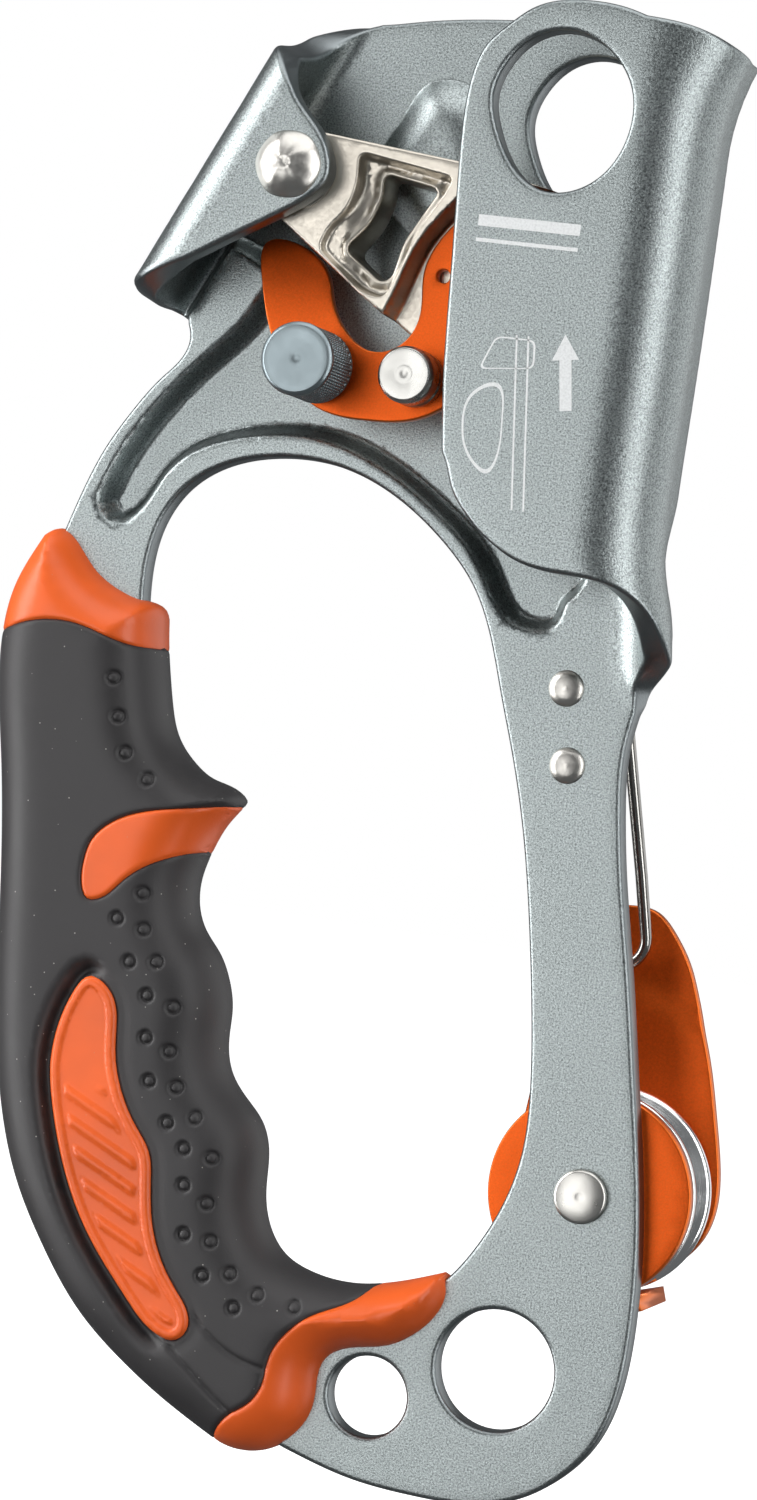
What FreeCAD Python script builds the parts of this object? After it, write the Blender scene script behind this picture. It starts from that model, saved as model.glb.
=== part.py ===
"""Handled rope ascender with a hauling pulley, millimetres.

+Z runs up the rope channel, +X to the right of the rope, +Y away from the user.
The origin is the centre of the large lower eye, at mid-thickness of the handle plate.
"""
import FreeCAD, Part
import os
import math
from FreeCAD import Vector

# Sheet frame
SHEET = 4.0
PLATE_FRONT = -2.0
PLATE_BACK = 2.0
HEAD_BACK = 6.0
SHELL_FRONT = -18.0
SHELL_RIGHT = 8.8
SHELL_BEND = 10.0
EAR_FRONT = -16.0
EAR_BEND = 7.0
EYE_RADIUS = 8.2
SMALL_EYE = (-17.1, -6.6)
SMALL_EYE_RADIUS = 5.5
EYE_CHAMFER = 0.6

# Cam and catch
CAM_PIVOT = (-48.0, 157.2)
CAM_FRONT = -11.5
CAM_BACK = -2.5
CAM_STEP = -6.9
CAM_BOSS = 6.0
TOOTH_HEIGHT = 1.2
CAM_BORE = 3.05
CAM_RIVET_RADIUS = 3.0
CAM_RIVET_HEAD = 4.6
CATCH_PIVOT = (-20.0, 147.0)
CATCH_FRONT = -9.0
CATCH_BACK = -7.2
KNOB = (-41.7, 131.0)
KNOB_RADIUS = 5.0
KNOB_FRONT = -20.5
PIN = (-28.0, 131.0)
PIN_RADIUS = 3.87
PIN_FRONT = -15.5

# Pulley on the back of the leg
AXLE = (8.6, 25.2)
AXLE_RADIUS = 3.0
AXLE_HEAD = 3.7
CHEEK_THICKNESS = 2.0
FAR_CHEEK = 16.6
SHEAVE_RADIUS = 13.2
SHEAVE_FRONT = 4.6
SHEAVE_BACK = 16.0
BEARING_OUTER = 7.5
BEARING_FRONT = 7.8
BEARING_BACK = 12.8
BALL_RADIUS = 1.2
BALL_CIRCLE = 5.25
BALL_COUNT = 9
RUNNING_FIT = 0.04

# Wire gate and its bracket
GATE_RIVETS = ((-3.2, 92.5), (-1.6, 82.2))
GATE_PIVOT = (-2.4, 87.4)
GATE_PIVOT_DEPTH = 6.4
GATE_WIRE = 0.85
GATE_HALF_WIDTH = 7.0
GATE_TILT = math.degrees(math.atan2(1.6, 10.3))
RIVET_HEAD = 2.5

# Grip
GRIP_DEPTH = 9.5

os.makedirs("parts", exist_ok=True)


def at(x, z, y=0.0):
    """Place a point given in the picture plane of the plate, at depth y."""
    return Vector(x, y, z)


def curve(points):
    """Smooth open edge through points of the plate plane."""
    line = Part.BSplineCurve()
    line.interpolate([at(x, z) for x, z in points])
    return line.toShape()


def closed_curve(points):
    """Smooth closed wire through points of the plate plane."""
    line = Part.BSplineCurve()
    line.interpolate([at(x, z) for x, z in points], PeriodicFlag=True)
    return Part.Wire([line.toShape()])


def loop(*runs):
    """Closed wire of smooth runs; a run of two points is a straight line."""
    edges = []
    for index, run in enumerate(runs):
        follower = runs[(index + 1) % len(runs)]
        edges.append(curve(run))
        if run[-1] != follower[0]:
            edges.append(Part.makeLine(at(*run[-1]), at(*follower[0])))
    return Part.Wire(edges)


def prism(wire, front, back):
    """Solid of a plate-plane outline between two depths."""
    face = Part.Face(wire)
    face.translate(Vector(0, front, 0))
    return face.extrude(Vector(0, back - front, 0))


def polygon(points, front, back):
    """Straight-sided solid between two depths."""
    wire = Part.makePolygon([at(x, z) for x, z in list(points) + [points[0]]])
    return prism(wire, front, back)


def disc(centre, radius, front, back):
    """Cylinder along the depth direction."""
    return Part.makeCylinder(radius, back - front, at(*centre, front), Vector(0, 1, 0))


def ring(centre, outer, inner, front, back):
    """Tube along the depth direction."""
    return disc(centre, outer, front, back).cut(disc(centre, inner, front, back))


def countersink(centre, radius, depth, face, outward):
    """Cone that breaks the edge of a hole by a 45 degree chamfer."""
    start = at(*centre, face - outward * depth)
    return Part.makeCone(radius, radius + depth, depth, start, Vector(0, outward, 0))


def dome(centre, radius, height, face, outward):
    """Low rivet head: a spherical cap standing on a face."""
    sphere_radius = (radius ** 2 + height ** 2) / (2 * height)
    ball_centre = at(*centre, face - outward * (sphere_radius - height))
    ball = Part.makeSphere(sphere_radius, ball_centre)
    front = face if outward > 0 else face - height
    return ball.common(disc(centre, radius + 1, front, front + height))


def save(name, shape):
    """Write one node's solid or group of solids."""
    shape = shape.removeSplitter()
    shape.exportStep("parts/%s.step" % name)
    print(name, len(shape.Solids), round(shape.Volume, 1), shape.isValid())


# Outlines in the plate plane
LEG_RIGHT = [(9.4, 102.0), (8.4, 95.0), (6.2, 86.0), (6.6, 77.0), (8.2, 67.5), (10.6, 56.5),
             (13.5, 42.0), (15.8, 30.0), (17.4, 18.5), (17.9, 8.5), (16.8, 0.0), (14.3, -6.8),
             (10.0, -11.8), (4.5, -15.6), (-2.0, -17.8), (-9.0, -18.5), (-18.0, -18.0), (-28.0, -15.6)]
GRIP_SPINE = [(-28.0, -15.6), (-36.5, -12.3), (-45.0, -8.0), (-54.0, -1.5), (-61.5, 6.5), (-67.5, 16.0),
              (-71.5, 27.0), (-74.2, 40.0), (-76.2, 54.0), (-78.5, 70.0), (-80.6, 84.0), (-80.6, 94.0),
              (-78.4, 103.2)]
ARM_LEFT = [(-78.4, 103.2), (-76.0, 111.1), (-73.6, 117.2), (-70.4, 122.8), (-66.8, 127.8), (-64.2, 131.0),
            (-63.6, 134.2), (-65.0, 137.2)]
OPENING = [(-12.4, 90.8), (-9.9, 83.6), (-6.6, 72.5), (-3.9, 60.0), (-2.0, 49.0), (-0.6, 38.0),
           (-0.6, 29.0), (-2.5, 21.4), (-5.5, 15.2), (-9.5, 10.0), (-15.5, 6.4), (-23.0, 4.8), (-30.0, 6.0),
           (-36.0, 9.6), (-40.5, 15.5), (-43.8, 23.0), (-47.5, 32.0), (-51.0, 42.0), (-54.6, 52.0),
           (-57.6, 62.0), (-60.2, 74.0), (-63.2, 87.0), (-65.0, 99.0), (-64.2, 107.0), (-61.0, 112.9),
           (-55.8, 116.7), (-49.4, 118.6), (-43.0, 118.9), (-36.5, 117.7), (-30.0, 114.8), (-23.8, 110.4),
           (-18.2, 104.5), (-14.8, 97.8)]
RECESS_LOWER = [(-71.8, 108.8), (-69.6, 109.0), (-66.4, 114.7), (-62.6, 119.2), (-56.5, 122.3), (-48.0, 124.0),
                (-39.0, 123.4), (-30.0, 119.8), (-22.0, 114.6), (-17.0, 109.6), (-14.0, 104.8), (-11.4, 102.2),
                (-8.2, 102.0), (-5.6, 106.0), (-1.0, 111.5), (4.8, 116.0)]
RECESS_UPPER = [(-53.0, 140.0), (-54.2, 135.8), (-58.5, 131.2), (-63.5, 125.4), (-67.8, 118.8), (-71.2, 112.0),
                (-71.8, 108.8)]
SHELL_LEFT = [(-20.8, 121.3), (-22.0, 131.0), (-23.0, 145.0), (-24.0, 160.0), (-24.0, 169.0), (-22.3, 175.7),
              (-18.2, 180.0), (-11.0, 182.2), (-3.6, 181.7), (4.0, 180.3), (9.5, 178.6)]
SHELL_LOWER = [(9.5, 97.0), (8.0, 102.4), (5.6, 105.2), (0.0, 107.0), (-5.4, 107.3), (-9.5, 108.4),
               (-13.1, 110.5), (-16.6, 113.6), (-19.3, 117.8), (-20.8, 121.3)]
EYE_EGG = [(-11.7, 178.3), (-16.0, 176.9), (-19.0, 173.6), (-20.4, 168.8), (-19.2, 164.4), (-16.6, 160.0),
           (-12.4, 157.1), (-8.0, 157.4), (-4.0, 160.2), (-1.6, 165.4), (-1.8, 171.0), (-4.8, 175.6)]
EAR_FACE = [(-51.0, 176.0), (-49.6, 171.4), (-47.6, 166.6), (-43.6, 162.2), (-41.5, 158.4), (-42.8, 154.3),
            (-47.5, 150.5), (-55.3, 145.9), (-65.0, 139.1)]
EAR_BASE = (-66.1, 146.6)
EAR_SLOPE = Vector(11.5, 0, 24.6).normalize()
EAR_END = Vector(5.06, 4.71, -15.2)
CAM_WINDOW = [(-37.2, 158.1), (-30.2, 157.2), (-31.3, 154.3), (-34.0, 149.4), (-35.0, 144.8), (-40.6, 147.4),
              (-41.0, 148.8), (-37.9, 151.8)]
CATCH_OUTER = [(-52.7, 147.2), (-52.2, 142.5), (-50.2, 136.5), (-46.5, 129.8), (-41.5, 125.6), (-34.5, 124.7),
               (-27.5, 125.6), (-21.5, 129.5), (-15.0, 138.0), (-12.4, 146.5), (-15.6, 153.2), (-22.5, 154.6),
               (-27.2, 150.6), (-29.2, 145.0), (-28.9, 139.6), (-31.0, 135.4), (-35.1, 134.1), (-38.8, 136.2),
               (-41.6, 140.6), (-43.6, 145.0)]
GRIP_OUTER = [(-38.5, -15.7), (-45.4, -12.2), (-52.2, -8.0), (-59.4, -2.3), (-66.2, 6.0), (-71.4, 14.5),
              (-75.0, 24.0), (-77.4, 35.0), (-79.6, 52.5), (-82.6, 72.0), (-85.2, 89.0), (-84.6, 96.8),
              (-82.6, 101.5), (-80.3, 104.2)]
GRIP_INNER = [(-62.4, 98.5), (-61.6, 92.0), (-60.2, 85.0), (-58.0, 78.8), (-54.0, 74.6), (-49.0, 72.6),
              (-47.0, 70.9), (-48.6, 68.2), (-50.8, 63.6), (-52.0, 58.0), (-50.6, 53.0), (-47.2, 48.8),
              (-45.0, 43.4), (-44.6, 37.4), (-42.4, 32.0), (-38.8, 27.8), (-36.8, 22.6), (-36.1, 16.4),
              (-33.4, 11.2), (-28.4, 8.6), (-21.5, 8.2), (-14.0, 9.8), (-9.0, 11.6)]
GRIP_LOWER = [(-9.0, 11.6), (-8.2, 8.0), (-10.6, 3.8), (-15.4, 0.6), (-21.5, -0.8), (-24.2, -4.7),
              (-24.8, -10.8), (-28.2, -15.6), (-34.0, -17.0), (-38.5, -15.7)]
INLAY = [(-62.4, 44.5), (-59.0, 42.8), (-57.6, 37.0), (-55.7, 29.9), (-51.6, 23.6), (-49.4, 17.2),
         (-47.4, 9.4), (-42.6, 2.2), (-42.4, -2.2), (-46.6, -1.6), (-54.0, 5.4), (-61.0, 15.4),
         (-65.4, 27.0), (-65.8, 38.0)]
FINGER_BAND = [(-65.6, 60.5), (-63.8, 64.8), (-58.5, 67.8), (-50.5, 69.6), (-44.0, 71.0), (-46.0, 65.5),
               (-50.0, 63.2), (-57.4, 60.0), (-62.6, 55.4), (-65.2, 55.8)]


def handle_plate():
    """Flat sheet of arm, leg and eyes, with the pressed recess left out."""
    plate = prism(loop(LEG_RIGHT, GRIP_SPINE, ARM_LEFT, [(-65.0, 137.2), (-53.0, 150.0)],
                       [(-53.0, 150.0), (8.8, 150.0)]), PLATE_FRONT, PLATE_BACK)
    plate = plate.cut(prism(closed_curve(OPENING), PLATE_FRONT - 1, PLATE_BACK + 1))
    recess = prism(loop(RECESS_LOWER, [(4.8, 116.0), (4.8, 160.0)], [(4.8, 160.0), (-53.0, 160.0)],
                        [(-53.0, 160.0), (-53.0, 140.0)], RECESS_UPPER), PLATE_FRONT - 1, PLATE_BACK)
    return plate.cut(recess)


def head_plate():
    """Set-back sheet behind the rope channel, the cam and the ear."""
    lower = [(-73.4, 107.0), (-66.0, 108.8), (-61.0, 115.4), (-52.0, 120.4), (-42.0, 120.8), (-31.0, 116.8),
             (-22.0, 110.6), (-16.0, 102.6), (-10.0, 98.4), (-3.6, 98.6), (0.4, 103.0), (-1.2, 110.0)]
    top = [(-1.2, 181.6), (-15.0, 182.6), (-28.0, 182.2), (-38.0, 180.9), (-46.6, 178.8)]
    left = [(-46.6, 178.8), (-47.0, 171.6), (-59.7, 144.0), (-60.6, 138.0)]
    notch = [(-65.0, 137.2), (-64.0, 134.2), (-65.8, 128.6), (-71.0, 121.0), (-74.6, 112.6), (-73.4, 107.0)]
    return prism(loop(lower, [(-1.2, 110.0), (-1.2, 181.6)], top, left[:2], left[1:3], left[2:],
                      [left[-1], notch[0]], notch), PLATE_BACK, HEAD_BACK)


def channel_profile():
    """U section of the rope channel, open to the left, along the rope."""
    front, back, right = SHELL_FRONT, HEAD_BACK, SHELL_RIGHT
    outer = Part.makeBox(right + 30, back - front, 90, Vector(-30, front, 93))
    outer = outer.makeFillet(SHELL_BEND, [edge for edge in outer.Edges if is_upright(edge, right)])
    inner_right = right - SHEET
    inner = Part.makeBox(inner_right + 31, back - front - 2 * SHEET, 92, Vector(-31, front + SHEET, 92))
    inner = inner.makeFillet(SHELL_BEND - SHEET, [edge for edge in inner.Edges if is_upright(edge, inner_right)])
    return outer.cut(inner)


def is_upright(edge, x):
    """True for an edge parallel to Z at the given X."""
    box = edge.BoundBox
    return box.XLength < 1e-6 and box.YLength < 1e-6 and abs(box.XMin - x) < 1e-6


def rope_channel():
    """Front shell and right-hand fold of the channel."""
    section = channel_profile()
    shell_mask = prism(loop(SHELL_LEFT, [(9.5, 178.6), (9.5, 97.0)], SHELL_LOWER), SHELL_FRONT - 1, -4.0)
    back_mask = prism(loop([(-1.3, 110.0), (7.4, 95.0)], [(7.4, 95.0), (9.5, 97.0)], [(9.5, 97.0), (9.5, 178.8)],
                           [(9.5, 178.8), (-1.3, 181.4)], [(-1.3, 181.4), (-1.3, 110.0)]), -4.0, HEAD_BACK + 1)
    return section.common(shell_mask.fuse(back_mask))


def ear_along(length, outward, depth):
    """Point of the ear's own axes: along the fold, away from it into the head, and depth."""
    inward = Vector(EAR_SLOPE.z, 0, -EAR_SLOPE.x)
    return at(*EAR_BASE) + EAR_SLOPE * length + inward * outward + Vector(0, depth, 0)


def ear():
    """Upper left fold that carries the front end of the cam rivet."""
    def block(reach, front, back, radius):
        corners = [ear_along(-12, reach, front), ear_along(-12, 40, front), ear_along(-12, 40, back),
                   ear_along(-12, reach, back), ear_along(-12, reach, front)]
        solid = Part.Face(Part.makePolygon(corners)).extrude(EAR_SLOPE * 60)
        edges = []
        for edge in solid.Edges:
            middle = edge.valueAt((edge.FirstParameter + edge.LastParameter) / 2)
            reach_here = (middle - ear_along(0, 0, 0)).dot(Vector(EAR_SLOPE.z, 0, -EAR_SLOPE.x))
            along = edge.tangentAt(edge.FirstParameter).cross(EAR_SLOPE).Length < 1e-6
            if along and abs(reach_here - reach) < 1e-6:
                edges.append(edge)
        return solid.makeFillet(radius, edges)
    fold = block(0, EAR_FRONT, HEAD_BACK, EAR_BEND)
    fold = fold.cut(block(SHEET, EAR_FRONT + SHEET, PLATE_BACK, EAR_BEND - SHEET))
    face_mask = prism(loop(EAR_FACE, [EAR_FACE[-1], (-70.0, 136.4)], [(-70.0, 136.4), (-78.0, 141.0)],
                           [(-78.0, 141.0), (-60.0, 180.0)], [(-60.0, 180.0), EAR_FACE[0]]), EAR_FRONT - 1, -5.0)
    wall_mask = polygon([(-76.0, 137.2), (-57.0, 137.2), (-46.6, 166.0), (-46.6, 182.0), (-62.0, 182.0)],
                        -5.0, HEAD_BACK + 1)
    keep = Part.makeBox(120, 120, 90, Vector(-60, -60, 0))
    keep.Placement = FreeCAD.Placement(at(-51.8, 177.1, 4.0), FreeCAD.Rotation(Vector(0, 0, 1), EAR_END))
    return fold.common(face_mask.fuse(wall_mask)).common(keep)


def frame():
    """One-piece stamped and folded aluminium frame with all its holes."""
    body = handle_plate().fuse([head_plate(), rope_channel(), ear()])
    egg = closed_curve(EYE_EGG)
    body = body.cut(prism(egg, SHELL_FRONT - 1, HEAD_BACK + 1))
    for centre, radius in (((0, 0), EYE_RADIUS), (SMALL_EYE, SMALL_EYE_RADIUS)):
        body = body.cut(disc(centre, radius, PLATE_FRONT - 1, PLATE_BACK + 1))
        body = body.cut(countersink(centre, radius, EYE_CHAMFER, PLATE_FRONT, -1))
        body = body.cut(countersink(centre, radius, EYE_CHAMFER, PLATE_BACK, 1))
    body = body.cut(disc(CAM_PIVOT, CAM_RIVET_RADIUS, EAR_FRONT - 1, HEAD_BACK + 1))
    body = body.cut(disc(AXLE, AXLE_RADIUS, PLATE_FRONT - 1, PLATE_BACK + 1))
    for centre in GATE_RIVETS:
        body = body.cut(disc(centre, 1.5, PLATE_FRONT - 1, HEAD_BACK + 1))
    return body


def cam():
    """Steel cam: pivot boss, pocketed web, stepped lower right face and a toothed nose."""
    px, pz = CAM_PIVOT
    top = [(px + 3.0, pz + 5.8), (-26.0, 160.4), (-4.0, 156.4)]
    nose = [(-4.0, 156.4), (1.0, 152.6), (0.4, 145.0), (-3.6, 137.6), (-10.0, 131.4)]
    under = [(-10.0, 131.4), (-19.0, 130.4), (-28.9, 136.5)]
    lower_left = [(-28.9, 136.5), (-37.1, 142.1), (-48.6, 150.0), (px - 2.2, pz - 5.6)]
    body = prism(loop(top[:2], top[1:], nose, under, lower_left[:2], lower_left[1:3],
                      lower_left[2:]), CAM_FRONT, CAM_BACK)
    body = body.fuse(disc(CAM_PIVOT, CAM_BOSS, CAM_FRONT, CAM_BACK))
    step = prism(loop([(-24.5, 158.0), (-25.5, 155.2), (-30.5, 148.0), (-33.2, 141.1), (-36.0, 137.0)],
                      [(-36.0, 137.0), (-30.0, 120.0)], [(-30.0, 120.0), (-11.0, 128.0)],
                      [(-11.0, 128.0), (-9.0, 146.0), (-13.0, 157.5), (-24.5, 158.0)]), CAM_FRONT - 1, CAM_STEP)
    body = body.cut(step)
    slot = polygon([(-58.0, 153.0), (-41.2, 153.0), (-41.2, 140.0), (-58.0, 140.0)], CATCH_FRONT - 0.4, CAM_STEP)
    body = body.cut(slot)
    window = Part.makePolygon([at(x, z) for x, z in CAM_WINDOW + CAM_WINDOW[:1]])
    body = body.cut(prism(window, CAM_FRONT - 1, CAM_BACK + 1))
    pocket = window.makeOffset2D(1.9)
    body = body.cut(prism(pocket, CAM_FRONT - 1, CAM_FRONT + 2.6))
    body = body.cut(disc(CAM_PIVOT, CAM_BORE, CAM_FRONT - 1, CAM_BACK + 1))
    body = body.cut(disc(CATCH_PIVOT, 1.5, CAM_FRONT - 1, CAM_BACK + 1))
    body = body.cut(disc(CATCH_PIVOT, 3.5, CAM_FRONT - 1, CAM_STEP + 2.6))
    return body.fuse(cam_teeth())


def cam_teeth():
    """Rows of small pyramids on the nose, pointing down the rope."""
    rows = 6
    teeth = []
    for row in range(rows):
        share = (row + 0.5) / rows
        x = 0.6 - 3.4 * share ** 2
        z = 151.5 - 13.5 * share
        for depth in (-9.8, -7.0, -4.2):
            base = at(x - 0.6, z, depth)
            tooth = Part.makeCone(0.9, 0.1, TOOTH_HEIGHT + 0.6, base, Vector(0.93, 0, -0.36))
            teeth.append(tooth)
    return teeth


def cam_parts():
    """Cam with its rivet, washers and return spring."""
    save("cam", cam())
    head_front = dome(CAM_PIVOT, CAM_RIVET_HEAD, 2.2, EAR_FRONT, -1)
    head_back = dome(CAM_PIVOT, CAM_RIVET_HEAD, 2.0, HEAD_BACK, 1)
    shank = disc(CAM_PIVOT, CAM_RIVET_RADIUS, EAR_FRONT, HEAD_BACK)
    save("cam_rivet", shank.fuse([head_front, head_back]))
    save("cam_front_washer", ring(CAM_PIVOT, 5.4, CAM_RIVET_RADIUS, EAR_FRONT + SHEET, CAM_FRONT - 0.1))
    save("cam_back_bush", ring(CAM_PIVOT, 3.5, CAM_RIVET_RADIUS, CAM_BACK + 0.1, PLATE_BACK))
    save("cam_spring", coil(CAM_PIVOT, 4.35, 0.4, -1.9, 1.3, 3, 9.0))


def coil(centre, radius, wire, front, back, turns, leg):
    """Torsion spring: helical turns drawn as stacked rings joined by two straight legs."""
    turn_list = []
    for turn in range(turns):
        depth = front + (back - front) * turn / (turns - 1)
        turn_list.append(Part.makeTorus(radius, wire, at(*centre, depth), Vector(0, 1, 0)))
    link = Part.makeCylinder(wire * 0.8, back - front, at(centre[0] + radius, centre[1], front), Vector(0, 1, 0))
    parts = turn_list[1:] + [link]
    if leg > 0:
        parts.append(Part.makeCylinder(wire, leg, at(centre[0], centre[1] - radius, back), Vector(1, 0, -0.1)))
    return turn_list[0].fuse(parts)


def catch_parts():
    """Orange catch lever with its knurled knob, bright pin, rivet and spring."""
    plate = prism(closed_curve(CATCH_OUTER), CATCH_FRONT, CATCH_BACK)
    plate = plate.cut(disc(CATCH_PIVOT, 1.55, CATCH_FRONT - 1, CATCH_BACK + 1))
    plate = plate.cut(disc((-26.2, 144.8), 0.7, CATCH_FRONT - 1, CATCH_BACK + 1))
    save("catch_lever", plate)
    knob = disc(KNOB, KNOB_RADIUS, KNOB_FRONT, CATCH_FRONT)
    rims = [edge for edge in knob.Edges if edge.Length > 20 and edge.BoundBox.YMax < KNOB_FRONT + 0.1]
    knob = knob.makeChamfer(0.45, rims)
    save("catch_knob", knob)
    pin = disc(PIN, PIN_RADIUS, PIN_FRONT, CATCH_FRONT)
    rims = [edge for edge in pin.Edges if edge.Length > 20 and edge.BoundBox.YMax < PIN_FRONT + 0.1]
    save("catch_stop_pin", pin.makeChamfer(0.5, rims))
    shank = disc(CATCH_PIVOT, 1.5, CATCH_FRONT - 0.1, CAM_BACK)
    save("catch_rivet", shank.fuse(dome(CATCH_PIVOT, 3.0, 1.2, CATCH_FRONT - 0.1, -1)))
    save("catch_spring", coil(CATCH_PIVOT, 2.6, 0.35, CAM_STEP + 0.2, CAM_STEP + 2.0, 3, 0.0))


def grip_block():
    """Full moulded grip before it is split into its colours."""
    outline = loop(GRIP_OUTER, [(-80.3, 104.2), (-72.0, 99.6), (-62.4, 98.5)], GRIP_INNER, GRIP_LOWER)
    block = prism(outline, -GRIP_DEPTH, GRIP_DEPTH)
    core = prism(loop(LEG_RIGHT, GRIP_SPINE, [(-78.4, 103.2), (-60.0, 130.0)], [(-60.0, 130.0), (8.8, 102.0)]),
                 PLATE_FRONT, PLATE_BACK)
    core = core.cut(prism(closed_curve(OPENING), PLATE_FRONT - 1, PLATE_BACK + 1))
    return block.cut(core)


def grip_parts():
    """Dark rubber grip, coloured collars and finger band, and the two side inlays."""
    block = grip_block()
    top_zone = polygon([(-95.0, 88.0), (-82.3, 90.2), (-77.0, 92.0), (-71.0, 92.2), (-66.0, 90.8), (-61.0, 90.4),
                        (-50.0, 90.4), (-50.0, 115.0), (-95.0, 115.0)], -20, 20)
    low_zone = polygon([(-17.9, 20.0), (-17.9, 7.7), (-20.0, 6.6), (-25.0, 3.6), (-28.6, 0.0), (-29.8, -4.5),
                        (-31.6, -9.3), (-34.1, -11.3), (-37.4, -20.0), (0.0, -25.0), (0.0, 20.0)], -20, 20)
    band_zone = prism(closed_curve(FINGER_BAND), -20, 20)
    front_seat = prism(closed_curve(INLAY), -20, -GRIP_DEPTH + 1.6)
    back_seat = prism(closed_curve(INLAY), GRIP_DEPTH - 1.6, 20)
    save("grip_top_collar", block.common(top_zone))
    save("grip_lower_collar", block.common(low_zone))
    save("grip_finger_band", block.common(band_zone))
    rubber = block
    for zone in (top_zone, low_zone, band_zone, front_seat, back_seat):
        rubber = rubber.cut(zone)
    save("grip_rubber", rubber)
    save("grip_inlay_front", prism(closed_curve(INLAY), -GRIP_DEPTH - 0.3, -GRIP_DEPTH + 1.6))
    save("grip_inlay_back", prism(closed_curve(INLAY), GRIP_DEPTH - 1.6, GRIP_DEPTH + 0.3))


def pulley_cheek():
    """One bent sheet: near disc against the leg, bridge below the sheave, far cheek with a hooked top."""
    near = disc(AXLE, 14.1, PLATE_BACK, PLATE_BACK + CHEEK_THICKNESS)
    far_outline = loop([(5.8, 64.2), (9.6, 63.4), (13.4, 59.6), (16.4, 53.0), (19.4, 44.9), (21.8, 35.5),
                        (23.2, 27.0), (21.8, 19.6), (18.3, 15.6), (14.6, 12.4)],
                       [(14.6, 12.4), (4.6, 10.6)],
                       [(4.6, 10.6), (-2.6, 15.0), (-5.6, 22.0), (-5.4, 32.0), (-4.4, 45.0), (-3.0, 57.0),
                        (0.6, 62.8), (5.8, 64.2)])
    far = prism(far_outline, FAR_CHEEK, FAR_CHEEK + CHEEK_THICKNESS)
    lean = math.radians(-72)
    outward = Vector(math.cos(lean), 0, math.sin(lean))
    across = Vector(-outward.z, 0, outward.x)
    corner = at(*AXLE, PLATE_BACK) + outward * 14.0 - across * 4.5
    points = [corner, corner + outward * 2.0, corner + outward * 2.0 + across * 9.0, corner + across * 9.0]
    depth = FAR_CHEEK + CHEEK_THICKNESS - PLATE_BACK
    bridge = Part.Face(Part.makePolygon(points + points[:1])).extrude(Vector(0, depth, 0))
    body = near.fuse([far, bridge])
    return body.cut(disc(AXLE, AXLE_RADIUS, 0, 25))


def turned(profile, centre):
    """Solid of revolution about the depth axis through a centre; profile holds (radius, depth)."""
    points = [Vector(centre[0] + radius, depth, centre[1]) for radius, depth in profile]
    face = Part.Face(Part.makePolygon(points + points[:1]))
    return face.revolve(at(*centre), Vector(0, 1, 0), 360)


def sheave():
    """Grooved aluminium wheel, bored for the bearing's outer race."""
    middle = (SHEAVE_FRONT + SHEAVE_BACK) / 2
    rim = SHEAVE_RADIUS
    profile = [(BEARING_OUTER, SHEAVE_FRONT + 1.2), (rim - 2.6, SHEAVE_FRONT + 0.6), (rim - 1.6, SHEAVE_FRONT),
               (rim, SHEAVE_FRONT), (rim, SHEAVE_FRONT + 0.9), (rim - 2.4, SHEAVE_FRONT + 2.2),
               (rim - 3.4, middle - 2.4), (rim - 3.9, middle), (rim - 3.4, middle + 2.4),
               (rim - 2.4, SHEAVE_BACK - 2.2), (rim, SHEAVE_BACK - 0.9), (rim, SHEAVE_BACK),
               (rim - 1.6, SHEAVE_BACK), (rim - 2.6, SHEAVE_BACK - 0.6), (BEARING_OUTER, SHEAVE_BACK - 1.2)]
    return turned(profile, AXLE)


def bearing_parts():
    """Sealed ball bearing between the sheave and the axle."""
    middle = (BEARING_FRONT + BEARING_BACK) / 2
    groove = Part.makeTorus(BALL_CIRCLE, BALL_RADIUS + RUNNING_FIT, at(*AXLE, middle), Vector(0, 1, 0))
    save("bearing_outer_race", ring(AXLE, BEARING_OUTER, 6.15, BEARING_FRONT, BEARING_BACK).cut(groove))
    save("bearing_inner_race", ring(AXLE, 4.35, AXLE_RADIUS, BEARING_FRONT, BEARING_BACK).cut(groove))
    balls = []
    pockets = []
    for index in range(BALL_COUNT):
        angle = 2 * math.pi * index / BALL_COUNT
        radial = Vector(math.cos(angle), 0, math.sin(angle))
        centre = at(*AXLE, middle) + radial * BALL_CIRCLE
        balls.append(Part.makeSphere(BALL_RADIUS, centre))
        pockets.append(Part.makeCylinder(BALL_RADIUS + RUNNING_FIT, 3.0, centre - radial * 1.5, radial))
    save("bearing_balls", Part.makeCompound(balls))
    cage = ring(AXLE, 5.75, 4.75, middle - 1.8, middle + 1.8).cut(pockets[0].fuse(pockets[1:]))
    save("bearing_cage", cage)


def pulley_parts():
    """Pulley: cheek, sheave, bearing, axle and spacers."""
    save("pulley_cheek", pulley_cheek())
    save("pulley_sheave", sheave())
    bearing_parts()
    rear = FAR_CHEEK + CHEEK_THICKNESS
    axle = disc(AXLE, AXLE_RADIUS, PLATE_FRONT, rear)
    axle = axle.fuse([disc(AXLE, AXLE_HEAD, PLATE_FRONT - 1.3, PLATE_FRONT), disc(AXLE, AXLE_HEAD, rear, rear + 1.3)])
    save("pulley_axle", axle)
    save("axle_front_spacer", ring(AXLE, 4.3, AXLE_RADIUS, PLATE_BACK + CHEEK_THICKNESS, BEARING_FRONT))
    save("axle_back_spacer", ring(AXLE, 4.3, AXLE_RADIUS, BEARING_BACK, FAR_CHEEK))


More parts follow.
